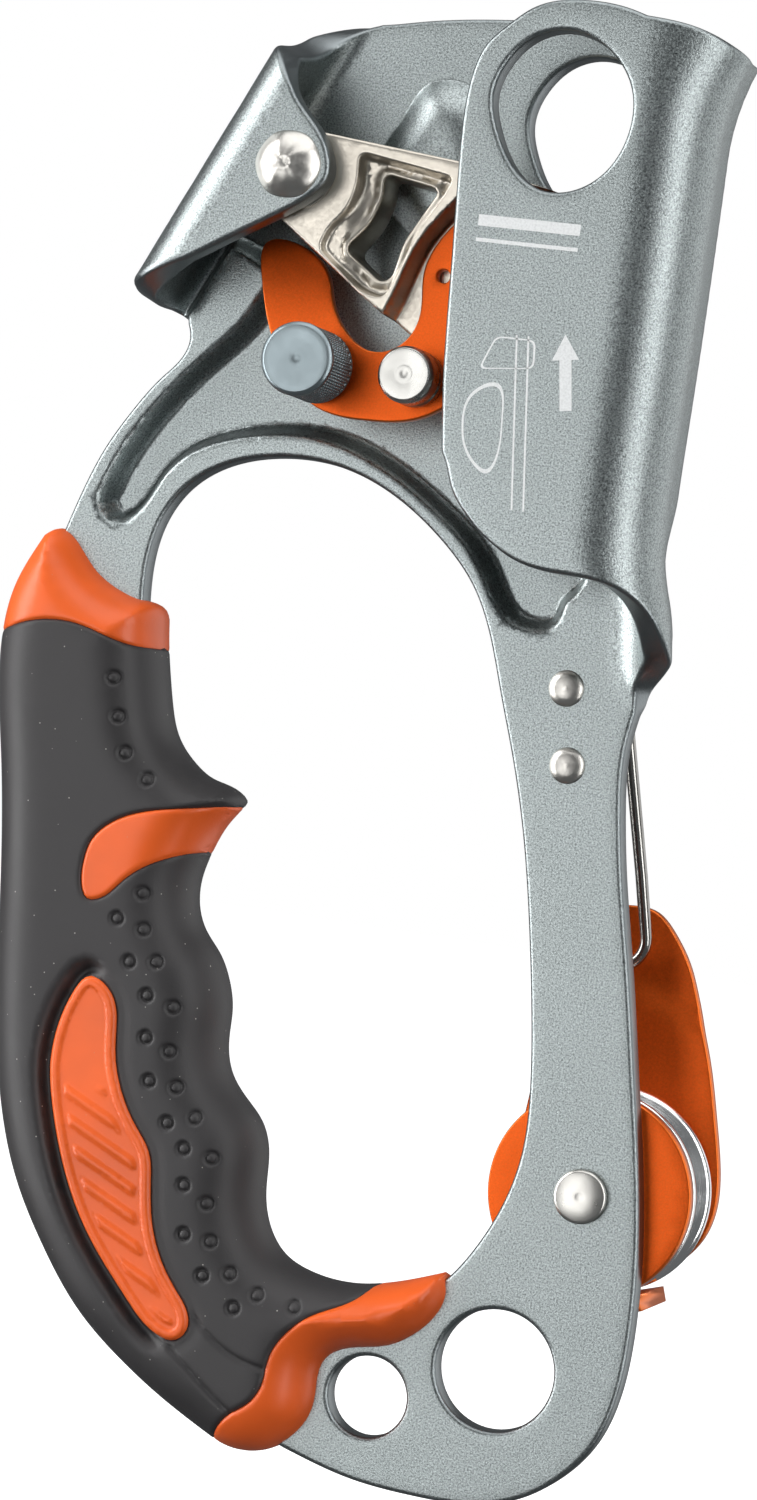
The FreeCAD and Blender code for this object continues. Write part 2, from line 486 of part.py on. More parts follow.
def gate_point(side, down, depth):
    """Point in the gate's own axes: across the leg, down the leg from the pivot, and depth."""
    tilt = math.radians(GATE_TILT)
    x = GATE_PIVOT[0] + side * math.cos(tilt) + down * math.sin(tilt)
    z = GATE_PIVOT[1] + side * math.sin(tilt) - down * math.cos(tilt)
    return Vector(x, depth, z)


def gate_side(side, down):
    """Point on the sloping side wire of the gate."""
    slope = (15.2 - GATE_PIVOT_DEPTH) / 32.5
    return gate_point(side, down, GATE_PIVOT_DEPTH + slope * down)


def wire_run(start, end, radius):
    """Straight round wire with a ball at its end, so that runs join."""
    reach = end - start
    rod = Part.makeCylinder(radius, reach.Length, start, reach)
    return rod.fuse(Part.makeSphere(radius, end))


def wire_gate():
    """U-shaped sprung wire loop; its two ends turn in to enter the bracket lugs."""
    half = GATE_HALF_WIDTH
    route = [gate_side(half - 3.2, 0), gate_side(half, 0)]
    corner = 4.0
    for step in range(4):
        angle = math.pi / 2 * step / 3
        route.append(gate_side(half - corner * (1 - math.cos(angle)), 28.5 + corner * math.sin(angle)))
    for step in range(4):
        angle = math.pi / 2 * (1 - step / 3)
        route.append(gate_side(-half + corner * (1 - math.cos(angle)), 28.5 + corner * math.sin(angle)))
    route += [gate_side(-half, 0), gate_side(-half + 3.2, 0)]
    runs = [wire_run(route[index], route[index + 1], GATE_WIRE) for index in range(len(route) - 1)]
    return runs[0].fuse(runs[1:])


def gate_block(side, down, width, height, front, back):
    """Box laid out in the gate's own axes."""
    corners = [gate_point(side, down, front), gate_point(side + width, down, front),
               gate_point(side + width, down + height, front), gate_point(side, down + height, front)]
    return Part.Face(Part.makePolygon(corners + corners[:1])).extrude(Vector(0, back - front, 0))


def gate_bracket():
    """Stainless bracket behind the leg: a base strip and two drilled lugs for the wire ends."""
    top = -8.2
    base = gate_block(-4.2, top, 8.4, 17.0, PLATE_BACK, PLATE_BACK + 1.2)
    lugs = [gate_block(side, -2.4, 1.4, 4.8, PLATE_BACK, GATE_PIVOT_DEPTH + 2.0) for side in (-5.6, 4.2)]
    body = base.fuse(lugs)
    start = gate_point(-9, 0, GATE_PIVOT_DEPTH)
    end = gate_point(9, 0, GATE_PIVOT_DEPTH)
    reach = end - start
    body = body.cut(Part.makeCylinder(GATE_WIRE + RUNNING_FIT, reach.Length, start, reach))
    for centre in GATE_RIVETS:
        body = body.cut(disc(centre, 1.5, 0, 10))
    return body


def gate_parts():
    """Wire gate, its bracket and the two rivets through the leg."""
    save("wire_gate", wire_gate())
    save("gate_bracket", gate_bracket())
    rivets = []
    for centre in GATE_RIVETS:
        shank = disc(centre, 1.5, PLATE_FRONT, PLATE_BACK + 1.2)
        heads = [dome(centre, RIVET_HEAD, 0.9, PLATE_FRONT, -1), dome(centre, 2.2, 0.9, PLATE_BACK + 1.2, 1)]
        rivets.append(shank.fuse(heads))
    save("gate_rivets", Part.makeCompound(rivets))


def main():
    """Write every node."""
    save("frame", frame())
    cam_parts()
    catch_parts()
    grip_parts()
    pulley_parts()
    gate_parts()


main()
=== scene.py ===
"""Looks of the handled rope ascender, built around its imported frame.

Lengths in the shape functions are millimetres; meshes are written in metres.
+X is right of the rope, +Y away from the user, +Z up the rope.
"""
import math

import bmesh
import bpy
import numpy as np
from mathutils import Matrix, Vector
from mathutils.geometry import delaunay_2d_cdt


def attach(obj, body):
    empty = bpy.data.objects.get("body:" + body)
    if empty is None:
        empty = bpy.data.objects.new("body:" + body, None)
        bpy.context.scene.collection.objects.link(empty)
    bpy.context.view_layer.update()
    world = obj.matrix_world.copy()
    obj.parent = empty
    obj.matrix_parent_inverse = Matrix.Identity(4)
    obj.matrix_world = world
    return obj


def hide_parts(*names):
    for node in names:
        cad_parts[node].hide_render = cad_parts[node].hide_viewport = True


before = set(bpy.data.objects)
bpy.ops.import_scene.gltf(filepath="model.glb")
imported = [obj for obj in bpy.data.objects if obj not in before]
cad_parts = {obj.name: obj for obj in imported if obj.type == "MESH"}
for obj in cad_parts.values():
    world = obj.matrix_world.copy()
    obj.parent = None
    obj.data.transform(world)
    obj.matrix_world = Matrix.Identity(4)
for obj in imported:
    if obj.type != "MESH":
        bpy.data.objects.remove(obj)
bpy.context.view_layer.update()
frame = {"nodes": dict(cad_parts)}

bl_info = {
    "name": "Rope ascender looks",
    "version": (1, 0, 0),
    "blender": (4, 5, 0),
    "location": "View3D > Sidebar > Ascender",
    "description": "Builds the visible pieces of a handled rope ascender",
    "category": "Object",
}

MM = 0.001


def linear(code):
    """sRGB hex text to linear colour: power 2.4 above the toe, a straight line below it."""
    parts = [int(code[i:i + 2], 16) / 255 for i in (1, 3, 5)]
    return tuple(c / 12.92 if c <= 0.04045 else ((c + 0.055) / 1.055) ** 2.4 for c in parts)


def rgba(colour):
    """Colour with full opacity, for a shader socket."""
    return (colour[0], colour[1], colour[2], 1.0)


# ---------------------------------------------------------------- curves in the plate plane

def cubic(knots, values, at):
    """Natural cubic spline: second slopes from the usual three-term system, then the cubic on each span."""
    knots, values = np.asarray(knots, float), np.asarray(values, float)
    values = values.reshape(len(knots), -1)
    span = np.diff(knots)
    size = len(knots)
    system = np.eye(size)
    right = np.zeros_like(values)
    for i in range(1, size - 1):
        system[i, i - 1:i + 2] = span[i - 1], 2 * (span[i - 1] + span[i]), span[i]
        right[i] = 6 * ((values[i + 1] - values[i]) / span[i] - (values[i] - values[i - 1]) / span[i - 1])
    bend = np.linalg.solve(system, right)
    at = np.atleast_1d(at)
    cell = np.clip(np.searchsorted(knots, at, side="right") - 1, 0, size - 2)
    width = span[cell][:, None]
    up = ((at - knots[cell])[:, None]) / width
    down = 1 - up
    return (down * values[cell] + up * values[cell + 1]
            + width ** 2 / 6 * ((down ** 3 - down) * bend[cell] + (up ** 3 - up) * bend[cell + 1]))


def run(points, step=0.7):
    """Smooth open curve through points, sampled at about step: a cubic spline on chord length."""
    points = np.asarray(points, float)
    chord = np.concatenate([[0], np.cumsum(np.linalg.norm(np.diff(points, axis=0), axis=1))])
    count = max(2, int(math.ceil(chord[-1] / step)) + 1)
    return cubic(chord, points, np.linspace(0, chord[-1], count))


def closed(points, step=0.7):
    """Smooth closed curve: the open spline run three times round, of which the middle turn is kept."""
    points = np.asarray(points, float)
    size = len(points)
    many = np.vstack([points, points, points, points[:1]])
    chord = np.concatenate([[0], np.cumsum(np.linalg.norm(np.diff(many, axis=0), axis=1))])
    start, end = chord[size], chord[2 * size]
    count = int(math.ceil((end - start) / step))
    return cubic(chord, many, np.linspace(start, end, count, endpoint=False))


def circle(centre, radius, count=64):
    """Points of a circle, anticlockwise."""
    turn = np.linspace(0, 2 * np.pi, count, endpoint=False)
    return np.column_stack([centre[0] + radius * np.cos(turn), centre[1] + radius * np.sin(turn)])


def rounded(corners, radius, step=0.35):
    """Closed polygon with rounded corners: each is a quadratic curve that leaves the sides a radius away."""
    corners = np.asarray(corners, float)
    out = []
    for here, back, on in zip(corners, np.roll(corners, 1, axis=0), np.roll(corners, -1, axis=0)):
        a, b = back - here, on - here
        size = min(radius, 0.45 * np.linalg.norm(a), 0.45 * np.linalg.norm(b))
        start, end = here + a / np.linalg.norm(a) * size, here + b / np.linalg.norm(b) * size
        t = np.linspace(0, 1, max(4, int(2 * size / step)))[:, None]
        out.append(start * (1 - t) ** 2 + 2 * here * t * (1 - t) + end * t ** 2)
    return chain(*out, step=step)


def chain(*runs, step=0.7):
    """Closed outline of several runs; gaps between them are filled by straight, evenly divided lines."""
    out = []
    for index, part in enumerate(runs):
        follower = runs[(index + 1) % len(runs)][0]
        part = np.asarray(part, float)
        gap = np.linalg.norm(follower - part[-1])
        share = np.linspace(0, 1, max(2, int(gap / step) + 1))[1:-1, None]
        out += [part] + ([part[-1] * (1 - share) + follower * share] if gap > 0.05 else [])
    points = np.vstack(out)
    keep = np.linalg.norm(points - np.roll(points, 1, axis=0), axis=1) > 0.05
    return points[keep]


def polygon(corners, step):
    """Closed polygon with straight sides, divided evenly."""
    corners = np.asarray(corners, float)
    return chain(*[corners[i:i + 1] for i in range(len(corners))], step=step)


def looped(outline):
    """Closed outline as a line that comes back to its first point."""
    return np.vstack([outline, outline[:1]])


def distance(points, lines, close=True):
    """Shortest distance of each point to a set of polylines: clamped projection on every segment."""
    starts = np.vstack([line if close else line[:-1] for line in lines])
    ends = np.vstack([np.roll(line, -1, axis=0) if close else line[1:] for line in lines])
    along = ends - starts
    length2 = np.maximum((along ** 2).sum(1), 1e-12)
    out = np.empty(len(points))
    for first in range(0, len(points), 1500):
        some = points[first:first + 1500]
        rel = some[:, None, :] - starts[None]
        t = np.clip((rel * along[None]).sum(2) / length2, 0, 1)
        gap = rel - t[..., None] * along[None]
        out[first:first + 1500] = np.sqrt((gap ** 2).sum(2).min(1))
    return out


def within(points, outline):
    """True where a point lies in a closed outline: odd number of crossings of a ray to the right."""
    x, z = points[:, 0:1], points[:, 1:2]
    x0, z0 = outline[:, 0][None], outline[:, 1][None]
    x1, z1 = np.roll(outline[:, 0], -1)[None], np.roll(outline[:, 1], -1)[None]
    out = np.empty(len(points), bool)
    for first in range(0, len(points), 3000):
        part = slice(first, first + 3000)
        spans = (z0 > z[part]) != (z1 > z[part])
        with np.errstate(divide="ignore", invalid="ignore"):
            cross = x0 + (z[part] - z0) * (x1 - x0) / (z1 - z0)
        out[part] = (spans & (x[part] < cross)).sum(1) % 2 == 1
    return out


def signed(points, outline):
    """Distance to a closed outline, positive inside."""
    gap = distance(points, [outline])
    return np.where(within(points, outline), gap, -gap)


def ease(value):
    """Smooth step from 0 to 1: 3t^2 - 2t^3 of the clamped value."""
    value = np.clip(value, 0, 1)
    return value * value * (3 - 2 * value)


def beside(line, offset, close=False):
    """Line moved sideways by an offset to the left of its direction."""
    if close:
        slope = np.roll(line, -1, axis=0) - np.roll(line, 1, axis=0)
    else:
        slope = np.gradient(line, axis=0)
    slope /= np.maximum(np.linalg.norm(slope, axis=1), 1e-9)[:, None]
    return line + offset * np.column_stack([-slope[:, 1], slope[:, 0]])


def round_off(gap, radius):
    """Drop of a rounded edge at a distance from the outline: a quarter circle, radius at 0 and none past it."""
    gap = np.minimum(gap, radius)
    return radius - np.sqrt(np.maximum(radius ** 2 - (radius - gap) ** 2, 0))


# ---------------------------------------------------------------- meshes

def triangulate(outline, holes=(), rows=(), spacing=1.3, bands=(), marks=(), lines=()):
    """Delaunay net of an outline with holes.

    The points are the outline and hole points, rows of them moved inwards, bands moved to both sides
    of given lines, marks as they are, and a hexagonal field with the given spacing in the rest.
    lines are kept as edges of the net. Triangles whose middle lies outside are dropped.
    """
    loops = [outline] + list(holes)
    sets, edges, count = [], [], 0
    for loop in loops:
        ring = np.arange(len(loop)) + count
        edges.append(np.column_stack([ring, np.roll(ring, -1)]))
        sets.append(loop)
        count += len(loop)
    for line in lines:
        ring = np.arange(len(line)) + count
        edges.append(np.column_stack([ring[:-1], ring[1:]]))
        sets.append(line)
        count += len(line)

    def inner(points, gap):
        keep = within(points, outline)
        for hole in holes:
            keep &= ~within(points, hole)
        points = points[keep]
        return points[distance(points, loops) > gap]
    extra = []
    for row in rows:
        moved = np.vstack([beside(loop, side * row, True) for loop in loops for side in (1, -1)])
        extra.append(inner(moved, row * 0.93))
    for line, offsets in bands:
        for offset in offsets:
            extra.append(inner(beside(line, offset), 0.12))
    for points in marks:
        extra.append(inner(points, 0.15))
    low, high = outline.min(0), outline.max(0)
    xs = np.arange(low[0], high[0], spacing)
    zs = np.arange(low[1], high[1], spacing * 0.866)
    gx, gz = np.meshgrid(xs, zs)
    gx = gx + (np.arange(len(zs)) % 2)[:, None] * spacing / 2
    field = np.column_stack([gx.ravel(), gz.ravel()])
    last = rows[-1] if rows else 0.0
    field = inner(field, last + 0.45 * spacing)
    if lines:
        field = field[distance(field, lines, False) > 0.45 * spacing]
    extra.append(field)
    points = np.vstack(sets + extra)
    result = delaunay_2d_cdt([Vector(p) for p in points], np.vstack(edges).tolist(), [], 0, 1e-4, False)
    points = np.array([tuple(v) for v in result[0]])
    faces = np.array([f for f in result[2] if len(f) == 3])
    middle = points[faces].mean(1)
    keep = within(middle, outline)
    for hole in holes:
        keep &= ~within(middle, hole)
    return points, faces[keep]


def write_mesh(name, points, faces, attribute=None):
    """Object from arrays of points in mm and faces of three or four corners, smooth shaded."""
    faces = [np.asarray(f) for f in faces if len(f)]
    mesh = bpy.data.meshes.new(name)
    sizes = np.concatenate([np.full(len(f), f.shape[1]) for f in faces])
    corners = np.concatenate([f.ravel() for f in faces])
    mesh.vertices.add(len(points))
    mesh.vertices.foreach_set("co", (np.asarray(points) * MM).astype(np.float32).ravel())
    mesh.loops.add(len(corners))
    mesh.loops.foreach_set("vertex_index", corners.astype(np.int32))
    mesh.polygons.add(len(sizes))
    mesh.polygons.foreach_set("loop_start", np.concatenate([[0], np.cumsum(sizes)[:-1]]).astype(np.int32))
    mesh.polygons.foreach_set("loop_total", sizes.astype(np.int32))
    mesh.polygons.foreach_set("use_smooth", np.ones(len(sizes), bool))
    mesh.update(calc_edges=True)
    mesh.validate()
    if attribute is not None:
        layer = mesh.attributes.new("edge", "FLOAT", "POINT")
        layer.data.foreach_set("value", np.asarray(attribute, np.float32))
    net = bmesh.new()
    net.from_mesh(mesh)
    bmesh.ops.recalc_face_normals(net, faces=net.faces)
    net.to_mesh(mesh)
    net.free()
    item = bpy.data.objects.new(name, mesh)
    bpy.context.scene.collection.objects.link(item)
    return item


def weld(item):
    """Merges points that fall together, drops faces without area and turns every face outwards."""
    net = bmesh.new()
    net.from_mesh(item.data)
    bmesh.ops.remove_doubles(net, verts=net.verts, dist=1e-7)
    bmesh.ops.dissolve_degenerate(net, edges=net.edges, dist=1e-8)
    bmesh.ops.recalc_face_normals(net, faces=net.faces)
    net.to_mesh(item.data)
    net.free()
    return item


def slab(name, points, faces, front, back, edge=None):
    """Closed body over a plane net: the net at the front points, the net at the back points, and a wall
    of quads along every edge that only one triangle uses. front and back are arrays of 3-D points."""
    used, small = np.unique(faces, return_inverse=True)
    small = small.reshape(faces.shape)
    front, back = front[used], back[used]
    count = len(used)
    sides = np.vstack([small[:, [0, 1]], small[:, [1, 2]], small[:, [2, 0]]])
    key = np.sort(sides, axis=1)
    _, first, times = np.unique(key[:, 0] * count + key[:, 1], return_index=True, return_counts=True)
    rim = sides[first[times == 1]]
    wall = np.column_stack([rim[:, 1], rim[:, 0], rim[:, 0] + count, rim[:, 1] + count])
    gap = np.linalg.norm(front - back, axis=1)
    shut = gap[rim].max(1) < 1e-4
    points3 = np.vstack([front, back])
    edges = None if edge is None else np.concatenate([edge[used], edge[used]])
    return weld(write_mesh(name, points3, [small, small[:, ::-1] + count, wall[~shut]], edges))


def plate(name, outline, holes, front, back, edge, spacing, shape=None):
    """Flat sheet piece between two depths, its edges rounded off. shape moves the finished points."""
    rows = [edge * share for share in (0.12, 0.35, 0.65, 1.0)]
    points, faces = triangulate(outline, holes, rows, spacing)
    gap = np.minimum(distance(points, [outline] + list(holes)), edge)
    drop = round_off(gap, edge)
    near = np.column_stack([points[:, 0], front + drop, points[:, 1]])
    far = np.column_stack([points[:, 0], back - drop, points[:, 1]])
    if shape:
        near, far = shape(near), shape(far)
    return slab(name, points, faces, near, far, 1 - gap / edge)


def turned(name, profile, centre, segments=96, relief=None):
    """Surface of revolution about the depth axis: profile rows are (radius, depth); a radius of zero is a
    closed pole. relief(angle, radius, depth) gives changed radius and depth."""
    profile = np.asarray(profile, float)
    turn = np.linspace(0, 2 * np.pi, segments, endpoint=False)
    radius = np.repeat(profile[:, :1], segments, axis=1)
    depth = np.repeat(profile[:, 1:2], segments, axis=1)
    if relief:
        radius, depth = relief(turn[None, :], radius, depth)
    x = centre[0] + radius * np.cos(turn)
    z = centre[1] + radius * np.sin(turn)
    points = np.stack([x, depth, z], axis=2).reshape(-1, 3)
    rows = len(profile)
    ring = np.arange(segments)
    follow = (ring + 1) % segments
    loop = profile[0, 0] > 1e-6 and profile[-1, 0] > 1e-6
    quads = []
    for row in range(rows if loop else rows - 1):
        a, b = row * segments, ((row + 1) % rows) * segments
        quads.append(np.column_stack([a + ring, a + follow, b + follow, b + ring]))
    return weld(write_mesh(name, points, [np.vstack(quads)]))


def arc(radius, depth, size, start, end, count=6):
    """Part of a profile: quarter or other piece of a circle about (radius, depth), angles in degrees."""
    turn = np.radians(np.linspace(start, end, count))
    return [(radius + size * math.cos(t), depth + size * math.sin(t)) for t in turn]


def tube(name, path, radius, sides=20):
    """Round wire: a circle carried along a path, squared to its direction, closed by a point at each end."""
    path = np.asarray(path, float)
    slope = np.gradient(path, axis=0)
    slope /= np.linalg.norm(slope, axis=1)[:, None]
    guide = np.array([0.13, 0.99, 0.07])
    side = np.cross(slope, guide)
    side /= np.linalg.norm(side, axis=1)[:, None]
    lift = np.cross(side, slope)
    turn = np.linspace(0, 2 * np.pi, sides, endpoint=False)
    ring = radius * (np.cos(turn)[None, :, None] * side[:, None] + np.sin(turn)[None, :, None] * lift[:, None])
    points = (path[:, None] + ring).reshape(-1, 3)
    count = len(path)
    a = np.arange(sides)
    b = (a + 1) % sides
    starts = (np.arange(count - 1) * sides)[:, None]
    quads = np.stack([starts + a, starts + b, starts + sides + b, starts + sides + a], axis=2).reshape(-1, 4)
    points = np.vstack([points, path[:1] - slope[:1] * radius * 0.6, path[-1:] + slope[-1:] * radius * 0.6])
    last = (count - 1) * sides
    first_cap = np.column_stack([b, a, np.full(sides, count * sides)])
    last_cap = np.column_stack([last + a, last + b, np.full(sides, count * sides + 1)])
    return write_mesh(name, points, [quads, first_cap, last_cap])


# ---------------------------------------------------------------- materials

LIBRARY = {}
EDGE_ROUGHNESS = 0.3


def add_node(tree, kind, settings=None, **inputs):
    """Adds one node and gives it back.

    settings are its attributes, or the stops of a colour ramp as (position, linear colour). inputs are its
    sockets as values or links, by name with spaces as _, or by place as i0, i1 and so on.
    """
    item = tree.nodes.new(kind)
    for key, value in (settings or {}).items():
        if key != "stops":
            setattr(item, key, value)
            continue
        marks = item.color_ramp.elements
        while len(marks) < len(value):
            marks.new(0.5)
        for mark_at, (place, colour) in zip(marks, value):
            mark_at.position = place
            mark_at.color = rgba(colour)
    for key, value in inputs.items():
        place = int(key[1:]) if key[0] == "i" and key[1:].isdigit() else key.replace("_", " ")
        if isinstance(value, bpy.types.NodeSocket):
            tree.links.new(value, item.inputs[place])
        else:
            item.inputs[place].default_value = value
    return item


def blank(name):
    """Starts a node material in the library: gives its node tree, its shader and its Object coordinates."""
    material = bpy.data.materials.new(name)
    material.use_nodes = True
    LIBRARY[name] = material
    tree = material.node_tree
    return tree, tree.nodes["Principled BSDF"], add_node(tree, "ShaderNodeTexCoord").outputs["Object"]


def shade(colour, factor):
    """Linear colour made lighter or darker by a factor, at most 1."""
    return [min(1.0, c * factor) for c in colour]


def surface(tree, shader, tone, patches, rough, height, strength, depth_mm, coined_edge_and_painted_light=None):
    """Links a surface's colour, roughness and fine relief to its shader.

    Roughness goes from the lower to the upper value of rough as the patches noise goes from 0.3 to 0.7, and
    to EDGE_ROUGHNESS where coined_edge_and_painted_light is 1: on the coined edges, whose colour is painted
    light. The relief is strength times a bump of depth_mm over the height noise.
    """
    level = add_node(tree, "ShaderNodeMapRange", Value=patches, From_Min=0.3, From_Max=0.7,
                     To_Min=rough[0], To_Max=rough[1]).outputs[0]
    if coined_edge_and_painted_light is not None:
        level = add_node(tree, "ShaderNodeMix", {"data_type": "FLOAT"},
                         i0=coined_edge_and_painted_light, i2=level, i3=EDGE_ROUGHNESS).outputs[0]
    relief = add_node(tree, "ShaderNodeBump", Strength=strength, Distance=depth_mm * MM, Height=height)
    tree.links.new(tone, shader.inputs["Base Color"])
    tree.links.new(level, shader.inputs["Roughness"])
    tree.links.new(relief.outputs[0], shader.inputs["Normal"])


def blasted(name, colour, metallic, rough, grain_mm, sparkle, bump, painted_edge_colour=None):
    """Bead-blasted metal under an anodised skin: fine random grain that twinkles, and smoother edges tinted
    with painted_edge_colour, a painted highlight where it is lighter and painted shade where it is darker.
    """
    tree, shader, where = blank(name)
    grain = add_node(tree, "ShaderNodeTexNoise", Vector=where, Scale=1 / (grain_mm * MM), Detail=3.0,
                     Roughness=0.65).outputs["Fac"]
    cloud = add_node(tree, "ShaderNodeTexNoise", Vector=where, Scale=1 / (22 * MM), Detail=2.0).outputs["Fac"]
    grains = [(0.32, shade(colour, 1 - sparkle)), (0.5, colour), (0.68, shade(colour, 1 + sparkle))]
    tone = add_node(tree, "ShaderNodeValToRGB", {"stops": grains}, Fac=grain).outputs["Color"]
    tint = add_node(tree, "ShaderNodeValToRGB", {"stops": [(0.3, (0.9, 0.9, 0.9)), (0.7, (1.0, 1.0, 1.0))]},
                    Fac=cloud).outputs["Color"]
    tone = add_node(tree, "ShaderNodeMix", {"data_type": "RGBA", "blend_type": "MULTIPLY"},
                    i0=0.6, i6=tone, i7=tint).outputs[2]
    coined_edge_and_painted_light = None
    if painted_edge_colour:
        edge = add_node(tree, "ShaderNodeAttribute", {"attribute_name": "edge"}).outputs["Fac"]
        coined_edge_and_painted_light = add_node(tree, "ShaderNodeMapRange", Value=edge, From_Min=0.15, From_Max=0.9).outputs[0]
        # Painted light on the coined edges: their colour is pulled to painted_edge_colour, a painted highlight
        # where that is lighter than the metal and painted shade where it is darker.
        tone = add_node(tree, "ShaderNodeMix", {"data_type": "RGBA"},
                        i0=coined_edge_and_painted_light, i6=tone, i7=rgba(painted_edge_colour)).outputs[2]
    shader.inputs["Metallic"].default_value = metallic
    surface(tree, shader, tone, grain, (rough - 0.05, rough + 0.07), grain, bump, 0.05, coined_edge_and_painted_light)


def brushed(name, colour, rough, pitch_mm, centre, bump, metallic=1.0, spread=0.12):
    """Metal faced on a lathe: fine rings about the depth axis through a centre."""
    tree, shader, where = blank(name)
    shift = add_node(tree, "ShaderNodeMapping", Vector=where, Location=(-centre[0] * MM, 0, -centre[1] * MM))
    parts = add_node(tree, "ShaderNodeSeparateXYZ", Vector=shift.outputs[0])
    flat = add_node(tree, "ShaderNodeCombineXYZ", X=parts.outputs[0], Y=parts.outputs[2])
    radius = add_node(tree, "ShaderNodeVectorMath", {"operation": "LENGTH"},
                      i0=flat.outputs[0]).outputs["Value"]
    rings = add_node(tree, "ShaderNodeTexNoise", {"noise_dimensions": "1D"}, W=radius,
                     Scale=1 / (pitch_mm * MM), Detail=2.0).outputs["Fac"]
    smear = add_node(tree, "ShaderNodeTexNoise", Vector=where, Scale=1 / (2.5 * MM), Detail=3.0).outputs["Fac"]
    both = add_node(tree, "ShaderNodeMath", {"operation": "ADD"}, i0=rings, i1=smear).outputs[0]
    stops = [(0.38, shade(colour, 1 - spread)), (0.62, shade(colour, 1 + spread))]
    tone = add_node(tree, "ShaderNodeValToRGB", {"stops": stops}, Fac=both).outputs["Color"]
    shader.inputs["Metallic"].default_value = metallic
    surface(tree, shader, tone, smear, (rough - 0.04, rough + 0.06), rings, bump, 0.03)


def cast(name, colour, rough, bump):
    """Smooth metal with a soft uneven skin of 0.5 mm and slightly darker patches of 6 mm."""
    tree, shader, where = blank(name)
    skin = add_node(tree, "ShaderNodeTexNoise", Vector=where, Scale=1 / (0.5 * MM), Detail=4.0,
                    Roughness=0.6).outputs["Fac"]
    patch = add_node(tree, "ShaderNodeTexNoise", Vector=where, Scale=1 / (6 * MM), Detail=2.0).outputs["Fac"]
    tone = add_node(tree, "ShaderNodeValToRGB", {"stops": [(0.3, shade(colour, 0.86)), (0.7, colour)]},
                    Fac=patch).outputs["Color"]
    shader.inputs["Metallic"].default_value = 1.0
    surface(tree, shader, tone, skin, (rough - 0.06, rough + 0.08), skin, bump, 0.06)


def moulded(name, colour, rough, dust):
    """Injection-moulded plastic: eroded mould texture of 0.35 mm, cloudy tone of 14 mm and scattered dust."""
    tree, shader, where = blank(name)
    erosion = add_node(tree, "ShaderNodeTexNoise", Vector=where, Scale=1 / (0.35 * MM), Detail=3.0,
                       Roughness=0.6).outputs["Fac"]
    cloud = add_node(tree, "ShaderNodeTexNoise", Vector=where, Scale=1 / (14 * MM), Detail=3.0).outputs["Fac"]
    stops = [(0.3, shade(colour, 0.84)), (0.7, shade(colour, 1.12))]
    tone = add_node(tree, "ShaderNodeValToRGB", {"stops": stops}, Fac=cloud).outputs["Color"]
    speck = add_node(tree, "ShaderNodeTexVoronoi", Vector=where, Scale=1 / (1.9 * MM), Randomness=1.0)
    dot = add_node(tree, "ShaderNodeMapRange", Value=speck.outputs["Distance"], From_Min=0.035, From_Max=0.06,
                   To_Min=dust, To_Max=0.0).outputs[0]
    tone = add_node(tree, "ShaderNodeMix", {"data_type": "RGBA"},
                    i0=dot, i6=tone, i7=rgba(linear("#B9B5AE"))).outputs[2]
    shader.inputs["IOR"].default_value = 1.5
    surface(tree, shader, tone, cloud, (rough - 0.05, rough + 0.05), erosion, 0.22, 0.08)


def printed(name, colour):
    """Laser mark: matt, slightly broken where the grain of 0.3 mm shows through."""
    tree, shader, where = blank(name)
    grain = add_node(tree, "ShaderNodeTexNoise", Vector=where, Scale=1 / (0.3 * MM), Detail=2.0).outputs["Fac"]
    tone = add_node(tree, "ShaderNodeValToRGB", {"stops": [(0.3, shade(colour, 0.86)), (0.6, colour)]},
                    Fac=grain).outputs["Color"]
    tree.links.new(tone, shader.inputs["Base Color"])
    shader.inputs["Roughness"].default_value = 0.6


def paper(name, dark, light):
    """Paper that lights itself evenly, with a faint tooth of 8 mm."""
    tree, shader, where = blank(name)
    tooth = add_node(tree, "ShaderNodeTexNoise", Vector=where, Scale=1 / (8 * MM), Detail=2.0).outputs["Fac"]
    tone = add_node(tree, "ShaderNodeValToRGB", {"stops": [(0.3, dark), (0.7, light)]},
                    Fac=tooth).outputs["Color"]
    tree.links.new(tone, shader.inputs["Base Color"])
    shader.inputs["Roughness"].default_value = 0.9
    shader.inputs["Emission Color"].default_value = (1, 1, 1, 1)
    shader.inputs["Emission Strength"].default_value = 1.0


def finish(item, material, body, slot, *nodes):
    """Gives a piece its material, its body and the CAD nodes it stands for. slot, its record slot, is not used.
    """
    item.data.materials.clear()
    item.data.materials.append(LIBRARY[material])
    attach(item, body)
    if nodes:
        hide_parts(*nodes)


def coat_node(node, material):
    """Gives a carried-over CAD node its material."""
    item = frame["nodes"][node]
    item.data.materials.clear()
    item.data.materials.append(LIBRARY[material])


# ---------------------------------------------------------------- the folded frame

# Half the sheet's thickness, its edge radius, and the middle radii of the channel's and the ear's folds.
HALF = 2.0
COIN = 0.75
FOLD = 8.0
EAR_FOLD = 5.0
# The ear's fold: a point on its line, the way along it, the way into the head, and where the bend begins.
EAR_BASE = np.array([-66.6, 146.7])
EAR_UP = np.array([11.5, 24.6]) / math.hypot(11.5, 24.6)
EAR_IN = np.array([EAR_UP[1], -EAR_UP[0]])
EAR_START = 7.0
# Depths of the sheet's middle in the head, in the channel's front and in the ear.
HEAD_SET = 4.0
SHELL_MID = -16.0
EAR_MID = -14.0

